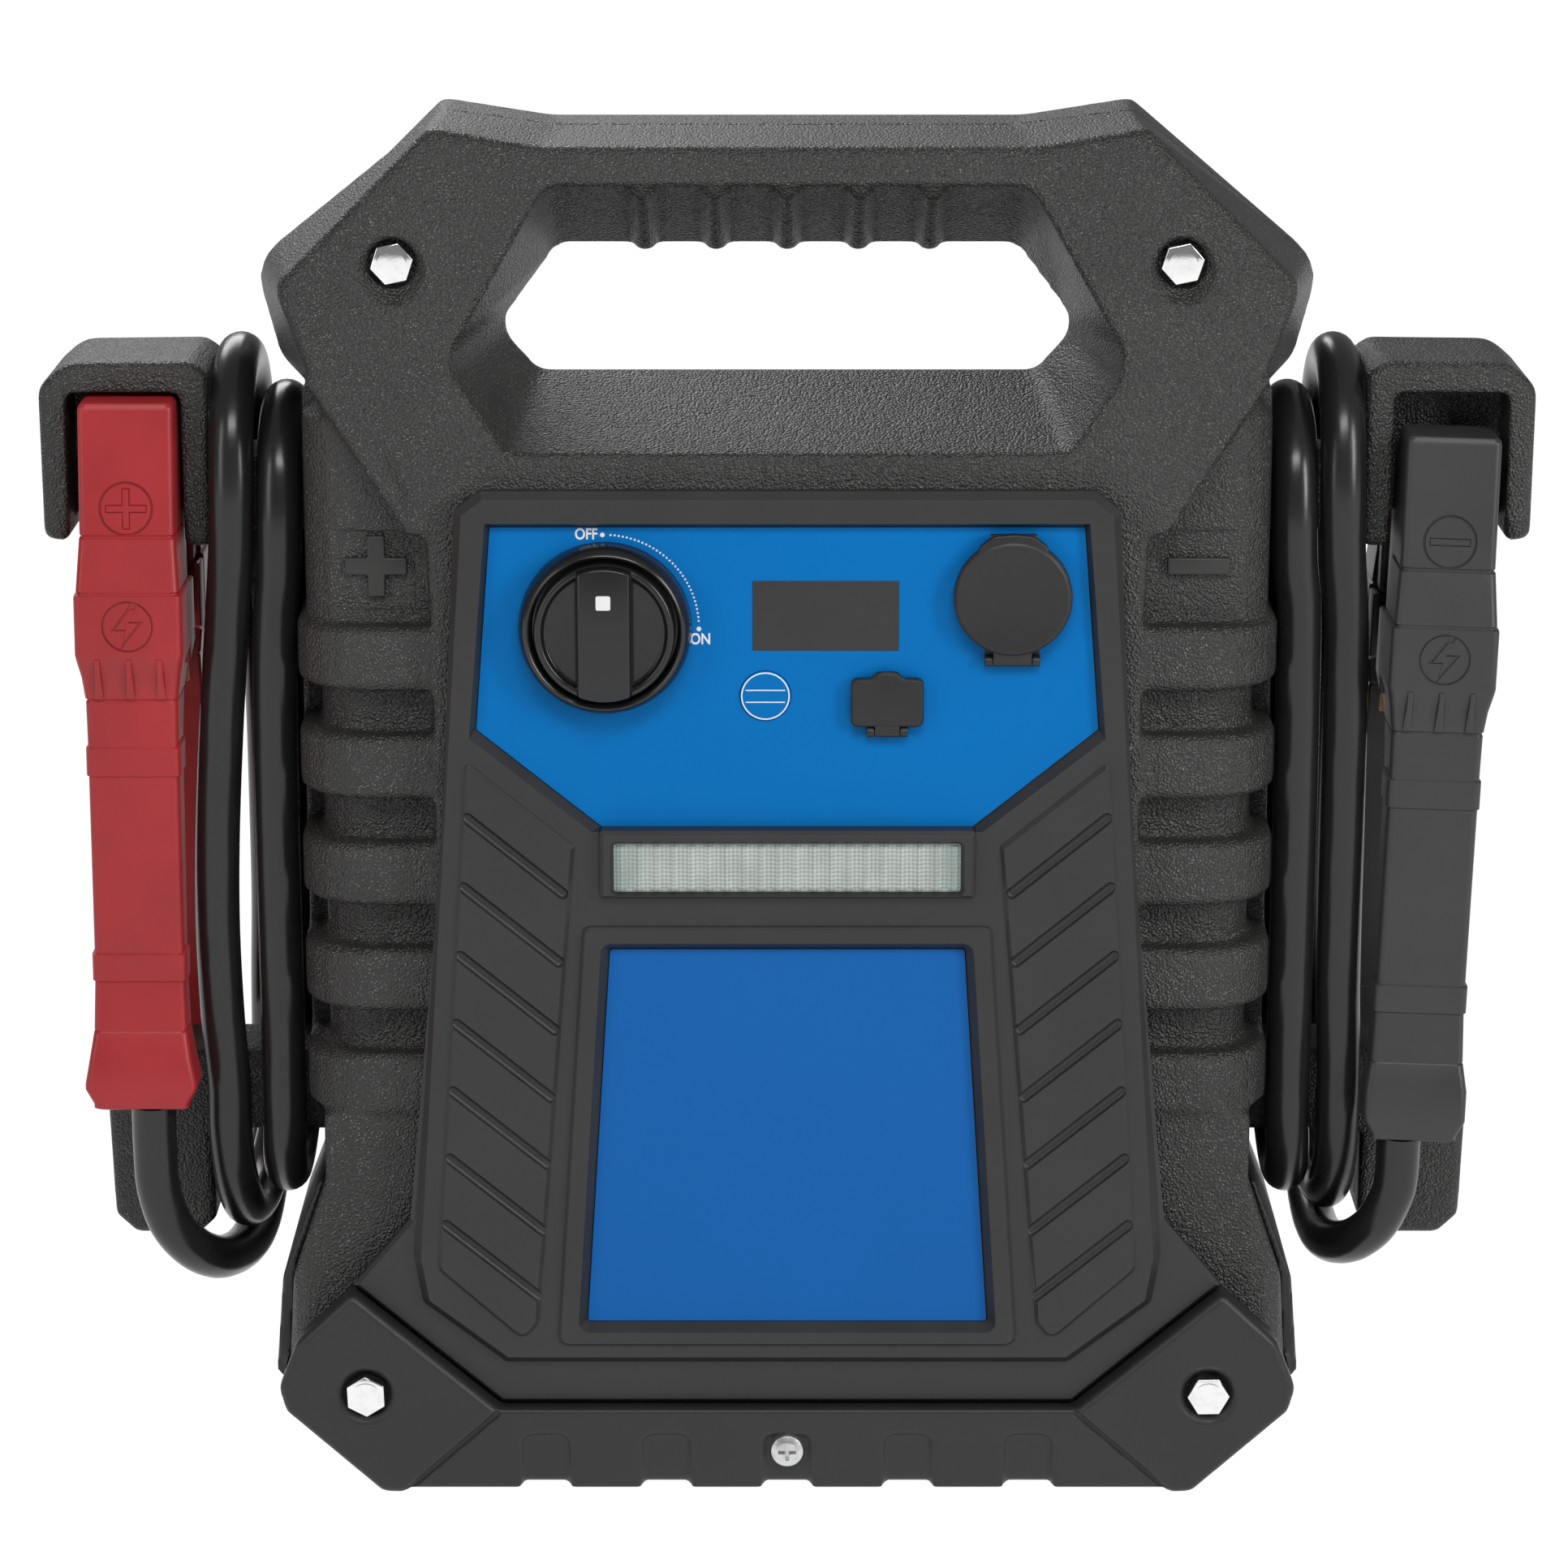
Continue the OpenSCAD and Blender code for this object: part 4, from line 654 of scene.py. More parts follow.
shellShape = {"voxel": 1.05, "rounds": 5, "keep": 0.32, "boltX": 102.6, "boltZ": 334.0}
gripRibs = {"count": 5, "pitch": 18.9, "radius": 3.5, "front": (31.5, 352.8), "back": (2.6, 335.4)}
fills = {  # drawn at the back, in x, y and z, the sides mirrored
    "base": [(123, 104), (123, 88), (132.6, 58), (134.5, 32), (106.6, 7.8)], "baseDepth": 2.5,
    "middle": ((-122.8, 0, 87), (122.8, 2.5, 286)),
    "sides": (((116, 0, 86.5), (123.8, 14.5, 113)), ((116, 0, 101.6), (129.6, 14.5, 113)),
              ((116, 0, 256.5), (127.2, 14.5, 279.5)), ((109.5, 46.5, 25.7), (118, 51.8, 34.3))),
    "wall": (50, 50.2, 53.8), "windowTop": 264.6, "hole": 3.5, "lowHole": ((-3.5, 50.2, 10), (3.5, 53.8, 17)),
    "corner": [(125.6, 305), (98.6, 265), (94, 265), (94, 300)], "cornerDepth": (30, 54, 54.6),
    "frameLean": 0.23, "leanFrom": 276,
    "column": ((100, 4, 286), (127.4, 33, 300.5)), "columnEnd": (115.4, 33.8, 290), "columnRadius": 12,
}


def shellFillers(back, window, holes):  # close the hollow, so that only the outer skin is moulded
    shape = bmesh.new()
    inner, face, outer = fills["wall"]
    hole = fills["hole"]
    plate(shape, fills["base"] + [(-x, z) for x, z in reversed(fills["base"])], fills["baseDepth"], 0)
    brick(shape, *fills["middle"])
    brick(shape, (-window[0], inner, window[1]), (window[0], outer, fills["windowTop"]))
    for side in (-1, 1):
        for low, high in fills["sides"]:
            brick(shape, (side * low[0], *low[1:]), (side * high[0], *high[1:]))
        for x, z in holes:
            brick(shape, (side * (x - hole), face, z - hole), (side * (x + hole), outer, z + hole))
    brick(shape, *fills["lowHole"])
    for side in (-1, 1):  # the frame's lower corners run straight down to the bezel
        near, far, most = fills["cornerDepth"]
        wedge = plate(bmesh.new(), [(side * x, z) for x, z in fills["corner"]], far, near)
        for v in wedge.verts:
            if v.co.y > 50:
                v.co.y = min(most, far - (v.co.z - fills["leanFrom"]) * fills["frameLean"])
        shape = joined(shape, wedge)
    for side in (-1, 1):  # the columns run up into the frame
        low, high = fills["column"]
        x, y, z = fills["columnEnd"]
        brick(shape, (side * low[0], *low[1:]), (side * high[0], *high[1:]))
        rod(shape, (side * x, y, z), (side * x, y, z + 0.1), fills["columnRadius"])
    for i in range(gripRibs["count"]):  # finger ribs under the grip
        x = (i - gripRibs["count"] // 2) * gripRibs["pitch"]
        rod(shape, (x, *gripRibs["back"]), (x, *gripRibs["front"]), gripRibs["radius"])
    bmesh.ops.recalc_face_normals(shape, faces=shape.faces)
    return shape if back else mirroredY(shape)


def boltSeat(side, back):  # countersunk seat of a frame bolt
    profile = [(0, 0), (6.3, 0), (6.3, 2.6), (7.2, 3.6), (10.2, 7.2), (12.6, 12.2), (13.2, 22), (0, 22)]
    shape = turned(profile, (side * shellShape["boltX"], -35.3, shellShape["boltZ"]))
    return mirroredY(shape) if back else shape


def signPad(side):  # shallow recess round the plus or minus on a column
    outline = rounded([(side * x, z, 1.2) for x, z in ((97.6, 243.6), (121.2, 243.6), (121.2, 265), (97.6, 265))])
    return slabOf(outline, -60, -45.15, 0.5)


rearScrews = ((74, 60), (74, 165), (74, 256))
for node, window, holes in (("front_shell", (79.5, 164), ()), ("rear_shell", (72, 173), rearScrews)):
    back = node == "rear_shell"
    shell = mould(node, "shell", shellShape["voxel"], shellShape["rounds"], shellShape["keep"],
                  shellFillers(back, window, holes))
    cutBy(shell, boltSeat(-1, back), boltSeat(1, back))
    if not back:
        cutBy(shell, signPad(-1), signPad(1))
    shell.data.shade_smooth()
    print(shell.name, len(shell.data.polygons), "faces")


# plus and minus signs on the column pads

signs = {"x": 107.7, "z": 255.35, "reach": 8.1, "bar": 4.5, "front": -46.75, "back": -44.4}


def signShape(x, plus):
    r, w = signs["reach"], signs["bar"] / 2
    corners = [(-r, -w), (r, -w), (r, w), (-r, w)]
    if plus:
        corners = [(-r, -w), (-w, -w), (-w, -r), (w, -r), (w, -w), (r, -w), (r, w), (w, w), (w, r), (-w, r),
                   (-w, w), (-r, w)]
    return slabOf([(x + a, signs["z"] + b) for a, b in corners], signs["front"], signs["back"], 0.45, 3)


addPiece("plusSign", signShape(-signs["x"], True), "pack", "sign", "shell")
addPiece("minusSign", signShape(signs["x"], False), "pack", "sign", "shell")


# front bezel, its labels and the work light

frontBezel = dressed("front_bezel", "bezel", "bezel", 0.45, 3)
louvres = {
    "top": 191.7, "outer": 84.6, "drift": 0.066,  # first groove, and how far each lower one lies outwards
    "pitch": 18.85, "count": 7, "lean": 39.5, "length": 33.0, "radius": 1.6, "face": -62.3,
    "panel": ((56, 92), (50, 204)), "slatArea": 60,  # the side panels' x and z, and a slat's least area
}


def louvreGrooves(side):  # rounded grooves across a side panel
    lean = math.radians(louvres["lean"])
    way = Vector((-math.cos(lean), 0, -math.sin(lean)))
    grooves = []
    for i in range(louvres["count"]):
        fall = i * louvres["pitch"]
        start = Vector((louvres["outer"] + fall * louvres["drift"], louvres["face"], louvres["top"] - fall))
        groove = rod(bmesh.new(), start + way * 0.9, start + way * louvres["length"], louvres["radius"])
        bmesh.ops.scale(groove, verts=groove.verts, vec=(side, 1, 1))
        grooves.append(groove)
    return grooves


def crispLips(made):  # keeps the wide slats flat in shade right up to their grooves
    (nearX, farX), (lowZ, highZ) = louvres["panel"]
    shape = bmesh.new()
    shape.from_mesh(made.data)
    for edge in shape.edges:
        wide = [face.calc_area() / mm ** 2 > louvres["slatArea"] for face in edge.link_faces]
        if any(wide) and not all(wide) and edge.calc_face_angle(0) > math.radians(6):
            middle = sum((v.co for v in edge.verts), Vector()) / (2 * mm)
            if nearX < abs(middle.x) < farX and middle.y < -62 and lowZ < middle.z < highZ:
                edge.smooth = False
    shape.to_mesh(made.data)
    shape.free()


for side in (-1, 1):
    cutBy(frontBezel, *louvreGrooves(side))
sharpen(frontBezel.data, 40)
crispLips(frontBezel)
evenNormals(frontBezel)
dressed("control_label", "label", "label", 0.06, 1)
dressed("plaque_label", "plaque", "plaque", 0.08, 1)
dressed("display_window", "display", "display", 0.12)
dressed("light_frame", "bezel", "bezel", 0.4, 3)
dressed("light_lens", "lens", "lens", 0.1, 1)
print("bezel dressed")

printing = {
    "front": -58.53, "knob": (-47.4, 242.0), "arc": 24.4, "dots": 37, "dot": 0.28, "endDot": 0.62,
    "words": (("OFF", -52.1, 266.5), ("ON", -22.6, 238.6)), "size": 4.1, "squeeze": 0.82, "bold": 0.09,
}


def printedArc():  # dots from OFF to ON round the knob, with a larger dot at each end
    shape = bmesh.new()
    cx, cz = printing["knob"]
    last = printing["dots"]
    for i in (0, *range(2, last - 1), last):
        angle = math.radians(91.2 - 92.6 * i / last)
        ends = i in (0, last)
        radius = printing["endDot"] if ends else printing["dot"]
        place = (cx + printing["arc"] * math.cos(angle), printing["front"],
                 cz + printing["arc"] * math.sin(angle))
        lay = Matrix.Translation(place) @ Matrix.Rotation(math.radians(90), 4, "X")
        bmesh.ops.create_cone(shape, cap_ends=True, segments=16 if ends else 8, radius1=radius,
                              radius2=radius, depth=0.06, matrix=lay)
    return shape


switchWords = [words(text, printing["size"], (x, printing["front"], z), printing["squeeze"], printing["bold"])
               for text, x, z in printing["words"]]
addPiece("switchArc", joined(printedArc(), *switchWords), "pack", "print", "label")


# rotary switch

knob = {"x": -47.4, "z": 242.0, "base": -58.5, "reach": 18.3,
        "mark": ((-2.0, 248.9), (1.8, 248.9), (1.8, 252.7), (-2.0, 252.7))}
knobPlace = (knob["x"], knob["base"], knob["z"])

ringProfile = [(14.7, 0.0), (22.6, 0.0), (22.55, 2.6), (22.2, 4.6), (21.6, 6.2), (20.9, 7.2), (20.3, 7.55),
               (19.75, 7.3), (19.3, 6.4), (19.0, 4.0), (18.9, 1.8), (14.7, 1.8), (14.7, 0.0)]
addPiece("knobRing", turned(ringProfile, knobPlace, 96), "pack", "control", "control_black", ("knob_ring",),
         sharp=50)


def knobShape():
    body = [(0, 2.25), (18.3, 2.25), (18.4, 2.5), (18.4, 7.2), (18.2, 7.9), (17.8, 8.4), (17.2, 8.6),
            (16.6, 8.45), (16.2, 8.0), (15.9, 7.3), (15.5, 6.95), (15.0, 6.9), (0, 6.9)]
    bar = plate(bmesh.new(), [(-8, -18.9), (8, -18.9), (8, 18.9), (-8, 18.9)], -11.5, -5)
    bmesh.ops.scale(bar, verts=[v for v in bar.verts if v.co.y < -11], vec=(0.83, 1, 0.955))
    bmesh.ops.bisect_plane(bar, geom=bar.verts[:] + bar.edges[:] + bar.faces[:], plane_co=(0, 0, 0),
                           plane_no=(0, 0, 1))
    ends = []
    for edge in bar.edges:
        a, b = (v.co for v in edge.verts)
        if abs(abs(a.z) - abs(b.z)) < 0.01 and abs(a.z) > 15 and abs(a.x - b.x) > 5:
            ends.append(edge)
    bmesh.ops.subdivide_edges(bar, edges=ends, cuts=7, use_grid_fill=True)
    for v in bar.verts:  # the bar's ends follow the round knob
        reach = knob["reach"] if v.co.y > -11 else knob["reach"] - 0.7
        if abs(v.co.z) > 15:
            v.co.z = math.copysign(math.sqrt(reach * reach - v.co.x * v.co.x), v.co.z)
    bmesh.ops.translate(bar, verts=bar.verts, vec=knobPlace)
    stem = turned([(0, -14.9), (3.9, -14.9), (3.9, 3), (0, 3)], knobPlace, 32)
    return joined(turned(body, knobPlace, 96), roundEdges(bar, 0.55, 3, 40), stem)


addPiece("powerKnob", knobShape(), "knob", "control", "control_black", ("power_knob",), sharp=48)
mark = rounded([(knob["x"] + x, z, 0.5) for x, z in knob["mark"]], 3)
addPiece("knobMark", slabOf(mark, -70.04, -69.8, 0.02, 1), "knob", "print", "control_black")


# test button

button = {"x": -5.7, "z": 223.5, "base": -58.5, "ring": (6.02, 6.36), "chord": 5.4, "lines": (1.55, -1.65)}
buttonPlace = (button["x"], button["base"], button["z"])
buttonProfile = [(0, -5.5), (2.2, -5.5), (2.2, -3.4), (6.6, -3.4), (6.6, 0.3), (6.45, 0.5), (6.2, 0.58), (4.0, 0.5),
                 (0, 0.42)]
addPiece("testButton", turned(buttonProfile, buttonPlace, 72), "button", "label", "button", ("test_button",),
         sharp=50)


def buttonPrint():  # a printed ring with two lines across it
    inner, outer = button["ring"]
    shape = turned([(inner, 0.45), (inner, 0.62), (outer, 0.62), (outer, 0.45), (inner, 0.45)], buttonPlace, 72)
    for z in button["lines"]:
        half = math.sqrt(button["chord"] ** 2 - z * z)
        brick(shape, (button["x"] - half, -59.06, button["z"] + z - 0.14),
              (button["x"] + half, -58.93, button["z"] + z + 0.14))
    return shape


addPiece("buttonPrint", buttonPrint(), "button", "print", "button")


# socket, USB port and their caps

dressed("power_socket", "cap", "control_black", 0.25)
dressed("usb_port", "cap", "control_black", 0.2)
socket = {"x": 58.6, "z": 250.4, "front": -59.8}
usb = {"x": 26.1, "z": 222.1}


def socketCap():
    shape = roundEdges(copyOf("socket_cap"), 0.35, 2)
    rim = turned([(0, 3.3), (14.0, 3.3), (14.5, 3.55), (14.2, 3.75), (13.6, 3.72), (13.2, 3.64), (0, 3.64)],
                 (socket["x"], socket["front"], socket["z"]), 96)
    lip = rounded([(-9.5, 11.5, 0), (9.5, 11.5, 0), (8.6, 13.8, 1.2), (5.2, 16.4, 3), (0, 16.9, 8),
                   (-5.2, 16.4, 3), (-8.6, 13.8, 1.2)], 4)
    tab = slabOf([(socket["x"] + x, socket["z"] + z) for x, z in lip], -62.9, -60.0, 0.5, 3)
    return joined(shape, rim, tab)


addPiece("socketCap", socketCap(), "socket_lid", "cap", "control_black", ("socket_cap",), sharp=45)


def usbCap():
    shape = roundEdges(copyOf("usb_cap"), 0.45, 3)
    hump = rounded([(-5.2, 5.8, 0), (5.2, 5.8, 0), (4.2, 6.9, 1.0), (1.6, 8.4, 1.6), (-1.6, 8.4, 1.6),
                    (-4.2, 6.9, 1.0)], 4)
    tab = slabOf([(usb["x"] + x, usb["z"] + z) for x, z in hump], -61.7, -59.7, 0.4, 2)
    return joined(shape, tab)


addPiece("usbCap", usbCap(), "usb_lid", "cap", "control_black", ("usb_cap",), sharp=45)
print("controls made")


# bumpers, feet, holders, hooks and glands

notches = {"pitch": 32.7, "half": 7.2, "low": 3.7, "high": 5.5}


def notchFloors():  # the notches of the lower edge are shallow
    shape = bmesh.new()
    for i in range(-2, 3):
        left, right = i * notches["pitch"] - notches["half"], i * notches["pitch"] + notches["half"]
        brick(shape, (left, -60.4, notches["low"]), (right, -54, notches["high"]))
    return shape


frontBumper = mould("front_bumper", "bumper", 0.8, 1, 0.3, notchFloors())
for side in (-1, 1):  # a fine gap along the corner plate's inner edge
    cutBy(frontBumper, rod(bmesh.new(), (side * 78.4, -63.3, 24.2), (side * 102.6, -63.3, 2.5), 1.0))
mould("rear_bumper", "bumper", 0.9, 1, 0.35, mirroredY(notchFloors()))
dressed("rubber_feet", "feet", "foot_rubber", 0.4, 3)
for side in ("left", "right"):
    mould(side + "_clamp_holder", "shell", 0.9, 5, 0.45)
    mould(side + "_cable_hook", "shell", 0.9, 5, 0.45)
dressed("cable_glands", "feet", "foot_rubber", 0.2)
print("bumpers and holders moulded")


# bolts and screws

bolts = (  # x, z, seat, turn in degrees, length
    (-102.6, 334, -35.2, 42, 29), (102.6, 334, -35.2, 42, 29),
    (-113.8, 30, -60.5, 62, 21), (113.8, 30, -60.5, 31, 21))
boltHead = {"corner": 5.77, "height": 4.9, "edge": 0.3}


def hexBolt(x, z, y, turn, length):
    head = bmesh.new()
    lay = Matrix.Rotation(math.radians(90), 4, "X") @ Matrix.Rotation(math.radians(turn), 4, "Z")
    bmesh.ops.create_cone(head, cap_ends=True, segments=6, radius1=boltHead["corner"],
                          radius2=boltHead["corner"], depth=boltHead["height"], matrix=lay)
    bmesh.ops.translate(head, verts=head.verts, vec=(0, -boltHead["height"] / 2, 0))
    roundEdges(head, boltHead["edge"], 3, 40)
    crown = turned([(0, 5.0), (3.6, 4.98), (4.3, 4.85), (4.75, 4.5), (4.75, 2), (0, 2)], (0, 0, 0), 48)
    shank = turned([(0, -length), (2.4, -length), (2.4, 0.5), (0, 0.5)], (0, 0, 0), 24)
    whole = joined(head, crown, shank)
    bmesh.ops.translate(whole, verts=whole.verts, vec=(x, y, z))
    return whole


allBolts = joined(*(hexBolt(*bolt) for bolt in bolts), *(mirroredY(hexBolt(*bolt)) for bolt in bolts))
addPiece("hexBolts", allBolts, "pack", "chrome", "bolt_chrome", ("hex_bolts",), sharp=35)
dressed("pan_screws", "zinc", "screw_steel", 0.15)
print("fasteners made")


# rear panel: vents, gauge, rocker, air outlet and charging inlet

dressed("rear_panel", "bezel", "bezel")
dressed("gauge_case", "control", "control_black", 0.3)
dressed("gauge_dial", "dial", "dial", 0.05, 1, name="gaugeDialPlate")
dressed("rocker_housing", "control", "control_black", 0.4, 3)
dressed("air_outlet", "brass", "outlet_brass", 0.25)
dressed("charge_inlet", "cap", "control_black", 0.25)
dressed("charge_cap", "cap", "control_black", 0.4, 3, "charge_lid")
dressed("compressor_rocker", "rocker", "rocker", 0.35, 3, "rocker")

gauge = {"x": -44.0, "z": 240.0, "face": 60.86, "radius": 17.6, "top": 160, "ticks": 32, "sweep": 270}


def behind(shape):  # drawn facing the front, turned round to the rear panel
    bmesh.ops.scale(shape, verts=shape.verts, vec=(-1, -1, 1))
    return shape


def gaugeScale():
    shape, labels = bmesh.new(), []
    for i in range(gauge["ticks"] + 1):
        angle = math.radians(225 - gauge["sweep"] * i / gauge["ticks"])

        def on(reach):  # a place on the dial at this angle
            return (reach * math.cos(angle) - gauge["x"], -gauge["face"], gauge["z"] + reach * math.sin(angle))

        long, wide = (1.7, 0.3) if i % 4 else (3.0, 0.45)
        lay = Matrix.Translation(on(gauge["radius"] - long / 2)) @ Matrix.Rotation(-angle, 4, "Y")
        bmesh.ops.create_cube(shape, size=1, matrix=lay @ Matrix.Diagonal((long, 0.06, wide, 1)))
        if i % 8 == 0:
            labels.append(words(str(gauge["top"] * i // gauge["ticks"]), 3.2, on(gauge["radius"] - 6.2), 0.85))
    return behind(joined(shape, *labels))


addPiece("gaugeScale", gaugeScale(), "pack", "ink", "dial")


def rockerMarks():  # a dash for on and a ring for off
    dash = brick(bmesh.new(), (-12.7, -60.12, 239.9), (-12.3, -59.6, 243.1))
    ring = turned([(1.15, 0), (1.15, 0.5), (1.55, 0.5), (1.55, 0), (1.15, 0)], (-3.5, -59.62, 241.5), 32)
    return behind(joined(dash, ring))


addPiece("rockerMarks", rockerMarks(), "rocker", "print", "rocker")
print("rear panel made")


# clamps

clamp = {
    "front": [(59.5, -29), (24, -33.5), (9, -37.5), (-7.6, -38.4), (-11.5, -36.4), (-19.5, -35.6), (-60, -37),
              (-104, -38.5), (-110.8, -40.2), (-118, -42.8), (-132, -44.1)],
    "back": [(59.5, -11.6), (30, -12.1), (14, -15.6), (-12, -16.1), (-30, -22.1), (-60, -25.9), (-100, -29.1),
             (-132, -30.7)],
    "corner": 1.9, "redEnd": 15.1, "blackEnd": 13.8,  # edge radius, half widths of the lower ends
    "sign": 31.8, "signRing": 6.9, "flash": 1.1, "flashRing": 6.6,  # heights and radii of the two marks
    "pocket": ((-10.3, -16.7, -30), (10.3, 2, 56)),  # room for the jaw
    # inner and outer x, front, lower and upper end of the walls beside the jaws and the pin
    "skirts": ((10.35, 12.6, -17, 9, 58.4), (12.0, 14.2, -19.5, -13.4, 8.4)),
    # height, half width, how far the skin stands back from the front line
    "levels": [(59.45, 11.0, 1.6), (59.1, 11.9, 0.7), (58.2, 12.5, 0.1), (57, 12.65, 0), (24.9, 12.65, 0),
               (24.5, 12.3, 0.35), (24.1, 12.3, 0.35), (23.7, 12.8, 0), (10.2, 13.7, 0), (9.8, 13.4, 0.3),
               (9.5, 13.4, 0.3), (9.1, 14.2, 0), (8.4, 14.35, 0), (-6.8, 14.35, 0), (-8.4, 14.1, 0),
               (-13.5, 13.1, 0), (-19.2, 12.4, 0), (-19.5, 12.0, 0.35), (-19.9, 12.0, 0.35), (-20.4, 12.25, 0.1),
               (-32.4, 12.1, 0.1), (-32.8, 12.6, -0.3), (-40.2, 12.6, -0.3), (-40.6, 12.1, 0.1),
               (-89.2, 12.1, 0.15), (-89.6, 12.7, -0.3), (-96.8, 12.7, -0.3), (-97.2, 12.2, 0.1),
               (-110.2, 12.6, 0.1), (-110.6, 12.4, 0.3), (-111, 12.7, 0), (-118, 13.8, 0), (-124.8, "end", 0),
               (-126.2, "end", 0), (-130.2, "chamfer", 0.2), (-131.4, "chamfer", 0.6), (-131.9, "tip", 1.4)],
}


def along(line, z):
    for (z0, y0), (z1, y1) in zip(line, line[1:]):
        if z1 <= z <= z0:
            return y0 + (y1 - y0) * (z0 - z) / (z0 - z1)
    return line[0][1] if z > line[0][0] else line[-1][1]


def lofted(sections):  # sections as lists of (x, y, z) with the same number of points
    shape = bmesh.new()
    rings = []
    for section in sections:
        verts = [shape.verts.new(p) for p in section]
        rings.append([shape.edges.new((verts[i - 1], vert)) for i, vert in enumerate(verts)])
    for low, high in zip(rings, rings[1:]):
        bmesh.ops.bridge_loops(shape, edges=low + high)
    for ring in (rings[0], rings[-1]):
        bmesh.ops.contextual_create(shape, geom=ring)
    bmesh.ops.recalc_face_normals(shape, faces=shape.faces)
    return shape


def leverShape(end):
    sections = []
    for z, half, inward in clamp["levels"]:
        half = {"end": end, "chamfer": end - 2.2, "tip": end - 3.4}.get(half, half)
        front, back = along(clamp["front"], z) + inward, along(clamp["back"], z) - max(inward, 0) * 0.6
        corner = min(clamp["corner"], (back - front) / 2.2)
        outline = rounded([(-half, front, corner), (half, front, corner), (half, back, 0.8), (-half, back, 0.8)], 4)
        sections.append([(x, y, z) for x, y in outline])
    return lofted(sections)


def onLever(shape, z):  # lays a mark drawn on the plane y = 0 onto the lever's front
    slope = math.atan2(along(clamp["front"], z + 4) - along(clamp["front"], z - 4), 8)
    lay = Matrix.Translation((0, along(clamp["front"], z), z)) @ Matrix.Rotation(-slope, 4, "X")
    bmesh.ops.transform(shape, matrix=lay, verts=shape.verts)
    return shape


def ringGroove(z, radius, width, deep):
    inner, outer = radius - width / 2, radius + width / 2
    profile = [(inner, -deep), (outer, -deep), (outer, 1.5), (inner, 1.5), (inner, -deep)]
    return onLever(turned(profile, (0, 0, 0), 72), z)


def signBars(plus, reach, bar, front, back):  # one bar, or two for a plus
    across = [(-reach, -bar), (reach, -bar), (reach, bar), (-reach, bar)]
    bars = [plate(bmesh.new(), across, front, back)]
    if plus:
        bars.append(plate(bmesh.new(), [(x, z) for z, x in reversed(across)], front - 0.01, back + 0.01))
    return [onLever(each, clamp["sign"]) for each in bars]


def flash(grow, front, back):  # the spark in the lower ring
    outline = [(2.4, 5.2), (0.4, 1.1), (3.4, 1.1), (-1.6, -5.2), (-0.4, -0.9), (-3.6, -0.9), (0.9, 5.2)]
    shape = plate(bmesh.new(), [(x * grow, z * grow) for x, z in outline], front, back)
    return onLever(shape, clamp["flash"])


def gussets():  # three short fins below the wide part
    shape = bmesh.new()
    for x in (-8.4, 0.0, 8.2):
        fin = bmesh.new()
        face = fin.faces.new([fin.verts.new((x, y, z)) for y, z in ((-34.5, -7), (-38.5, -7.8), (-38.0, -12),
                                                                   (-36.1, -19.2), (-34.5, -19.2))])
        drawn = bmesh.ops.extrude_face_region(fin, geom=[face])["geom"]
        bmesh.ops.translate(fin, verts=[v for v in drawn if isinstance(v, bmesh.types.BMVert)], vec=(1.5, 0, 0))
        bmesh.ops.translate(fin, verts=fin.verts, vec=(-0.75, 0, 0))
        for v in fin.verts:  # wider at the foot
            if v.co.z < -15:
                v.co.x += 0.55 if v.co.x > x else -0.55
        bmesh.ops.recalc_face_normals(fin, faces=fin.faces)
        shape = joined(shape, roundEdges(fin, 0.25, 2))
    return shape


def skirts():  # side walls of the cover beside the jaws and the pin
    walls = []
    for side in (-1, 1):
        for inner, outer, front, low, high in clamp["skirts"]:
            wall = brick(bmesh.new(), (side * inner, front, low), (side * outer, -7.3, high))
            for v in wall.verts:
                if v.co.y > -10 and v.co.z > 50:
                    v.co.z -= 5
                elif v.co.y > -10 and v.co.z < 0:
                    v.co.z += 4
            bmesh.ops.recalc_face_normals(wall, faces=wall.faces)
            walls.append(roundEdges(wall, 0.6, 3))
    return walls


clampPlaces = {
    "red": Matrix.Translation((-174.6, 0, 236)),
    "black": Matrix.Translation((174.2, 0, 227)) @ Matrix.Rotation(math.radians(2), 4, "Y"),
}


def placed(shape, colour, rear):
    if rear:
        bmesh.ops.scale(shape, verts=shape.verts, vec=(1, -1, 1))
    bmesh.ops.transform(shape, matrix=clampPlaces[colour], verts=shape.verts)
    bmesh.ops.recalc_face_normals(shape, faces=shape.faces)
    return shape


def makeLever(colour, half):  # half is front or rear
    rear, plus = half == "rear", colour == "red"
    body = colour + "_rear_half" if rear else "pack"
    node, slot = colour + "_" + half + "_lever", "clamp_" + colour
    made = addPiece(pieceName(node), placed(leverShape(clamp[colour + "End"]), colour, rear), body, colour, slot,
                    (node,), sharp=28)
    pocket = brick(bmesh.new(), *clamp["pocket"])
    engraved = (ringGroove(clamp["sign"], clamp["signRing"], 0.7, 0.6),
                ringGroove(clamp["flash"], clamp["flashRing"], 0.55, 0.5), flash(1.22, -1.5, 0.4),
                *signBars(plus, 5.5, 1.1, -1.5, 0.4))
    cutBy(made, *(placed(cutter, colour, rear) for cutter in (pocket, *engraved)))
    sharpen(made.data, 28)
    evenNormals(made)
    marks = joined(*signBars(plus, 5.2, 0.75, -0.1, 0.8), flash(0.88, -0.1, 0.8), gussets(), *skirts())
    return made, addPiece(pieceName(node) + "Marks", placed(marks, colour, rear), body, colour, slot, sharp=28)


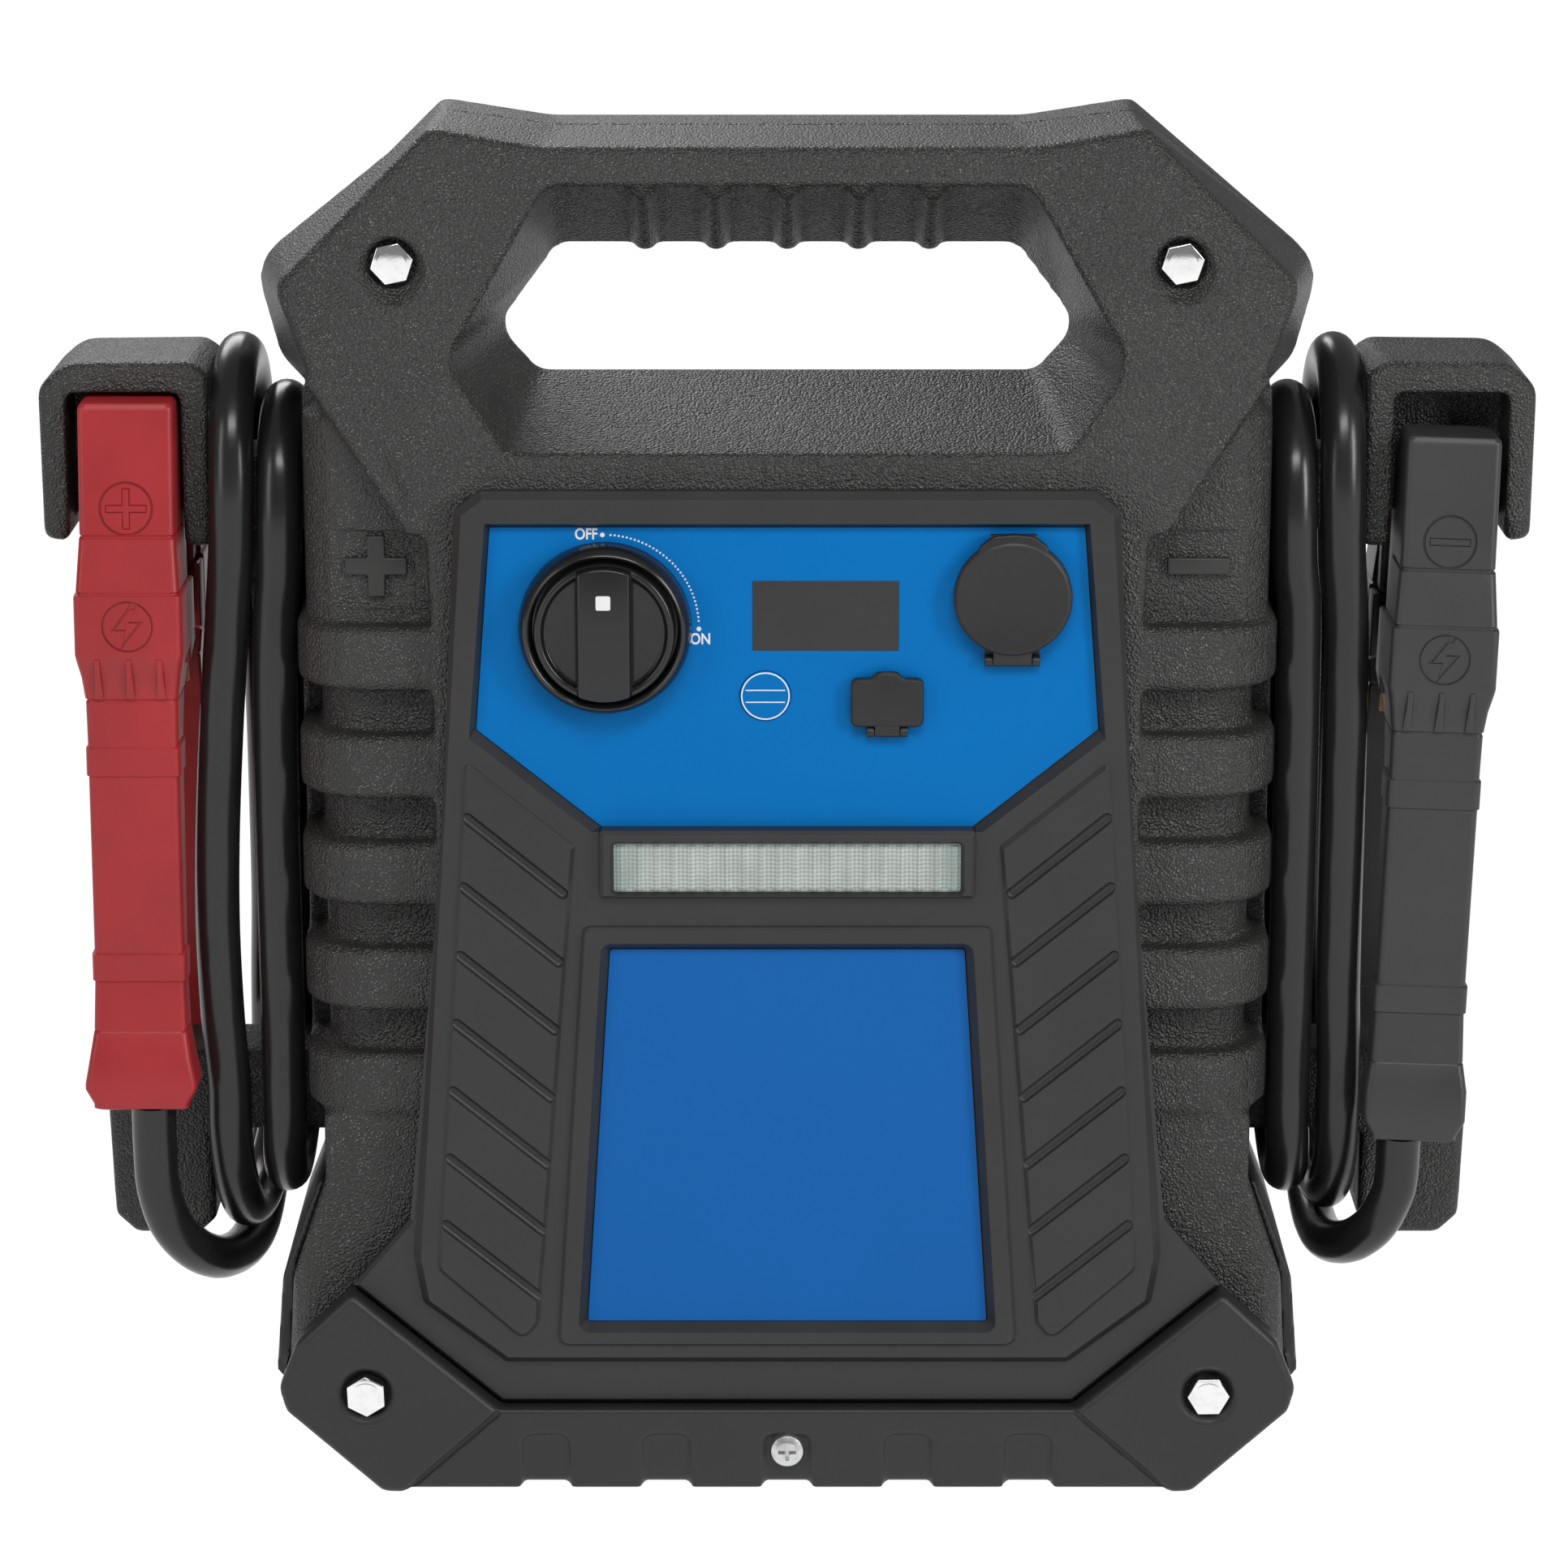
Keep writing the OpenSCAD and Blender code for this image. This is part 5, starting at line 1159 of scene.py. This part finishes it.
clampParts = {}
for colour in ("red", "black"):
    clampParts[colour] = [
        *makeLever(colour, "front"), *makeLever(colour, "rear"),
        dressed(colour + "_front_jaw", "copper", "jaw_copper", 0.25),
        dressed(colour + "_rear_jaw", "copper", "jaw_copper", 0.25, body=colour + "_rear_half"),
        dressed(colour + "_pivot_pin", "zinc", "screw_steel", 0.35, 3),
        frame["nodes"][colour + "_spring"]]
print("clamps made")


# starting cables

cable = {"diameter": 12.0, "leftLength": 1.3351, "rightLength": 1.3054, "sides": 24, "frontY": -26.2, "wrap": 38}


def halfTurn(x0, x1, y0, y1, z, up, bulge=0, count=6):
    points = []
    for i in range(count + 1):
        angle = math.pi * i / count
        points.append((x0 + (x1 - x0) * i / count + bulge * math.sin(angle),
                       (y0 + y1) / 2 + (y0 - y1) / 2 * math.cos(angle),
                       z + up * abs(y1 - y0) / 2 * math.sin(angle)))
    return points


def cableRoute(start, drop, lead, runA, runB, foot):  # foot: x, y, height and bulge of the outer lower loop
    front = cable["frontY"]
    endA, endB = runA[-1], runB[-1]
    first = tuple(s + cable["diameter"] * d for s, d in zip(start, drop))
    return ([start, first] + lead
            + [(148, 47, 115), (147, 44.5, 140), (146.5, 41, 170), (146.3, 38, 200), (146.5, 35.5, 230),
               (147, 33.8, 254)]
            + halfTurn(147.3, 147.3, 33, front, 273, 1)
            + [(x, front, z) for x, z in runA]
            + halfTurn(endA[0], foot[0], front, foot[1], foot[2], -1, foot[3])
            + [(141, 34, 112), (139.5, 29.5, 140), (138, 25.5, 170), (136.8, 23.6, 200),
               (135.6, 23.2, 235), (134.9, 23.8, 252)]
            + halfTurn(134.8, 134.8, 24, front, 265.4, 1)
            + [(x, front, z) for x, z in runB]
            + halfTurn(endB[0], 136.8, front, 22.6, 98.6, -1, 1.6)
            + [(136.8, 20.6, 114), (137, 13.6, 136), (137.4, 7.4, 158), (137.8, 2.4, 184),
               (138, 0.4, 206), (138, 0, 220), (138, 0, 232)])


leftRoute = cableRoute(
    (172, -37.6, 104), (0, 0, -1),
    [(171.4, -37.4, 80), (168.6, -35.4, 69), (163.6, -30.6, 60.4), (158.8, -22.6, 54.6),
     (155.4, -12, 51.2), (152.6, 0.6, 49.4), (150.6, 14, 50.2), (149.6, 27.4, 54.8),
     (149, 38.4, 63.8), (148.6, 45.2, 76), (148.5, 47.5, 89)],
    [(148, 255), (149.8, 232), (152, 205), (153.8, 175), (154.4, 150), (153.8, 125), (152.6, 106)],
    [(135.4, 250), (136.6, 235), (137.3, 210), (137.6, 180), (137.6, 155), (137.5, 130),
     (137.5, 112)], (142, 35, 92.5, 2))
lean = math.radians(2)
rightRoute = cableRoute(
    (166.4, -37.6, 95.2), (-math.sin(lean), 0, -math.cos(lean)),
    [(164.8, -37.2, 77.4), (161.4, -34.4, 68.8), (156.8, -28.8, 62.2), (152.8, -20.4, 58),
     (150.4, -9.6, 55.4), (149.4, 3.4, 54.4), (149, 16.6, 56), (148.8, 29.6, 61.2),
     (148.6, 40, 71.2), (148.5, 46, 84), (148.5, 47.5, 97)],
    [(147.9, 255), (149.3, 235), (149.7, 210), (149.8, 180), (149.8, 155), (150, 132),
     (150.7, 114)],
    [(135.2, 252), (136.5, 238), (136.8, 210), (136.9, 180), (136.9, 155), (136.9, 130),
     (136.9, 113)], (143.4, 35, 98, 2.6))


def smoothLine(points, share=6):  # points of a smooth curve through the route's own points
    line = []
    for i in range(len(points) - 1):
        a, b, c, d = (Vector(points[max(0, min(len(points) - 1, i + k))]) for k in (-1, 0, 1, 2))
        for j in range(share):
            t = j / share
            line.append(0.5 * ((2 * b) + (c - a) * t + (2 * a - 5 * b + 4 * c - d) * t * t
                               + (3 * b - a - 3 * c + d) * t * t * t))
    return line + [Vector(points[-1])]


def makeCable(node, route, side, length, clampPieces):
    line = [Vector((side * p[0], p[1], p[2])) * mm for p in smoothLine(route)]
    shape = bmesh.new()
    uv = shape.loops.layers.uv.new("along")
    sides, radius = cable["sides"], cable["diameter"] / 2 * mm
    rings, travelled = [], [0.0]
    up = Vector((0, 1, 0)).cross((line[1] - line[0]).normalized())
    for i, point in enumerate(line):
        ahead = (line[min(i + 1, len(line) - 1)] - line[max(i - 1, 0)]).normalized()
        up = (up - ahead * up.dot(ahead)).normalized()
        across = ahead.cross(up)
        rings.append([shape.verts.new(point + radius * (math.cos(2 * math.pi * k / sides) * up
                                                        + math.sin(2 * math.pi * k / sides) * across))
                      for k in range(sides)])
        if i:
            travelled.append(travelled[-1] + (point - line[i - 1]).length)
    for i in range(len(rings) - 1):
        for k in range(sides):
            face = shape.faces.new((rings[i][k], rings[i + 1][k], rings[i + 1][(k + 1) % sides],
                                    rings[i][(k + 1) % sides]))
            for loop, (u, v) in zip(face.loops, ((k, i), (k, i + 1), (k + 1, i + 1), (k + 1, i))):
                loop[uv].uv = (u / sides, travelled[v] * 1000 / cable["wrap"])
    shape.faces.new(rings[0])
    shape.faces.new(list(reversed(rings[-1])))
    bmesh.ops.recalc_face_normals(shape, faces=shape.faces)
    made = addPiece(pieceName(node), shape, "pack", "cable", "cable_jacket", (node,), scale=1, sharp=40)
    exitPoint = [c * mm for c in (side * route[-1][0], route[-1][1], route[-1][2])]
    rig.cord(made, exit=exitPoint, length=length, diameter=cable["diameter"] * mm, far_end="connector",
            stiffness="limp", lay="coiled", path=[tuple(p) for p in reversed(line)],
            with_pieces=clampPieces)


makeCable("positive_cable", leftRoute, -1, cable["leftLength"], clampParts["red"])
makeCable("negative_cable", rightRoute, 1, cable["rightLength"], clampParts["black"])
print("cables laid")


# floor, backdrop and lamps

studio = {
    "floor": (0.8, 0.8, 0.8), "floorSize": 6, "world": 0.22, "shade": 0.12, "glow": 1.12,
    # place, aim and size in metres, power in watts
    "lamps": {
        "keyLamp": ((1.2, -0.9, 0.7), (0, 0, 0.2), (0.3, 0.8), 9.0),
        "fillLamp": ((-1.2, -0.9, 0.7), (0, 0, 0.2), (0.4, 1.0), 3.8),
        "topLamp": ((0.1, -1.05, 1.3), (0, 0, 0.25), (0.9, 0.35), 9.6),
        "backLamp": ((-0.5, 1.3, 1.1), (0, 0, 0.2), (1.0, 0.6), 9.0),
    },
}


def makeFloor():
    shape = bmesh.new()
    bmesh.ops.create_grid(shape, x_segments=1, y_segments=1, size=studio["floorSize"])
    mesh = bpy.data.meshes.new("floor")
    shape.to_mesh(mesh)
    shape.free()
    floor = bpy.data.objects.new("floor", mesh)
    bpy.context.scene.collection.objects.link(floor)
    finish = Finish("floorPaper", Roughness=0.9)
    finish.set("Base Color", studio["floor"])
    camera, glossy, through = (finish.add("ShaderNodeLightPath", {}, "Is " + ray + " Ray")
                               for ray in ("Camera", "Glossy", "Transmission"))
    seen = camera.most(glossy).most(through)
    glow = finish.add("ShaderNodeEmission", {"Color": (1, 1, 1, 1), "Strength": studio["glow"]})
    paper = Wire(finish, finish.shader.outputs[0])
    mixed = finish.add("ShaderNodeMixShader", {0: seen * (1 - studio["shade"]), 1: paper, 2: glow})
    finish.links.new(mixed.socket, finish.nodes["Material Output"].inputs["Surface"])
    mesh.materials.append(finish.material)
    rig.stage(floor)


def makeWorld():
    world = bpy.data.worlds.new("studioWorld")
    world.use_nodes = True
    bpy.context.scene.world = world
    nodes, links = world.node_tree.nodes, world.node_tree.links
    background = nodes["Background"]
    background.inputs["Color"].default_value = (1, 1, 1, 1)
    path = nodes.new("ShaderNodeLightPath")
    seen = nodes.new("ShaderNodeMath")
    seen.operation = "MAXIMUM"
    links.new(path.outputs["Is Camera Ray"], seen.inputs[0])
    links.new(path.outputs["Is Transmission Ray"], seen.inputs[1])
    strength = nodes.new("ShaderNodeMapRange")
    strength.inputs["To Min"].default_value = studio["world"]
    strength.inputs["To Max"].default_value = 1.0
    links.new(seen.outputs[0], strength.inputs["Value"])
    links.new(strength.outputs[0], background.inputs["Strength"])


def addLamp(name, place, aim, size, power):
    data = bpy.data.lights.new(name, "AREA")
    data.shape, data.size, data.size_y, data.energy = "RECTANGLE", size[0], size[1], power
    lamp = bpy.data.objects.new(name, data)
    lamp.location = place
    lamp.rotation_euler = (Vector(place) - Vector(aim)).to_track_quat("Z", "Y").to_euler()
    bpy.context.scene.collection.objects.link(lamp)


makeFloor()
makeWorld()
for name, lamp in studio["lamps"].items():
    addLamp(name, *lamp)
bpy.context.scene.view_settings.view_transform = "Standard"
print("studio lit")

with open("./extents.json", "w") as sizes:
    json.dump({"cad": [list(corner) for corner in packedBox],
               "visual": [list(corner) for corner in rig.bounds()]}, sizes)
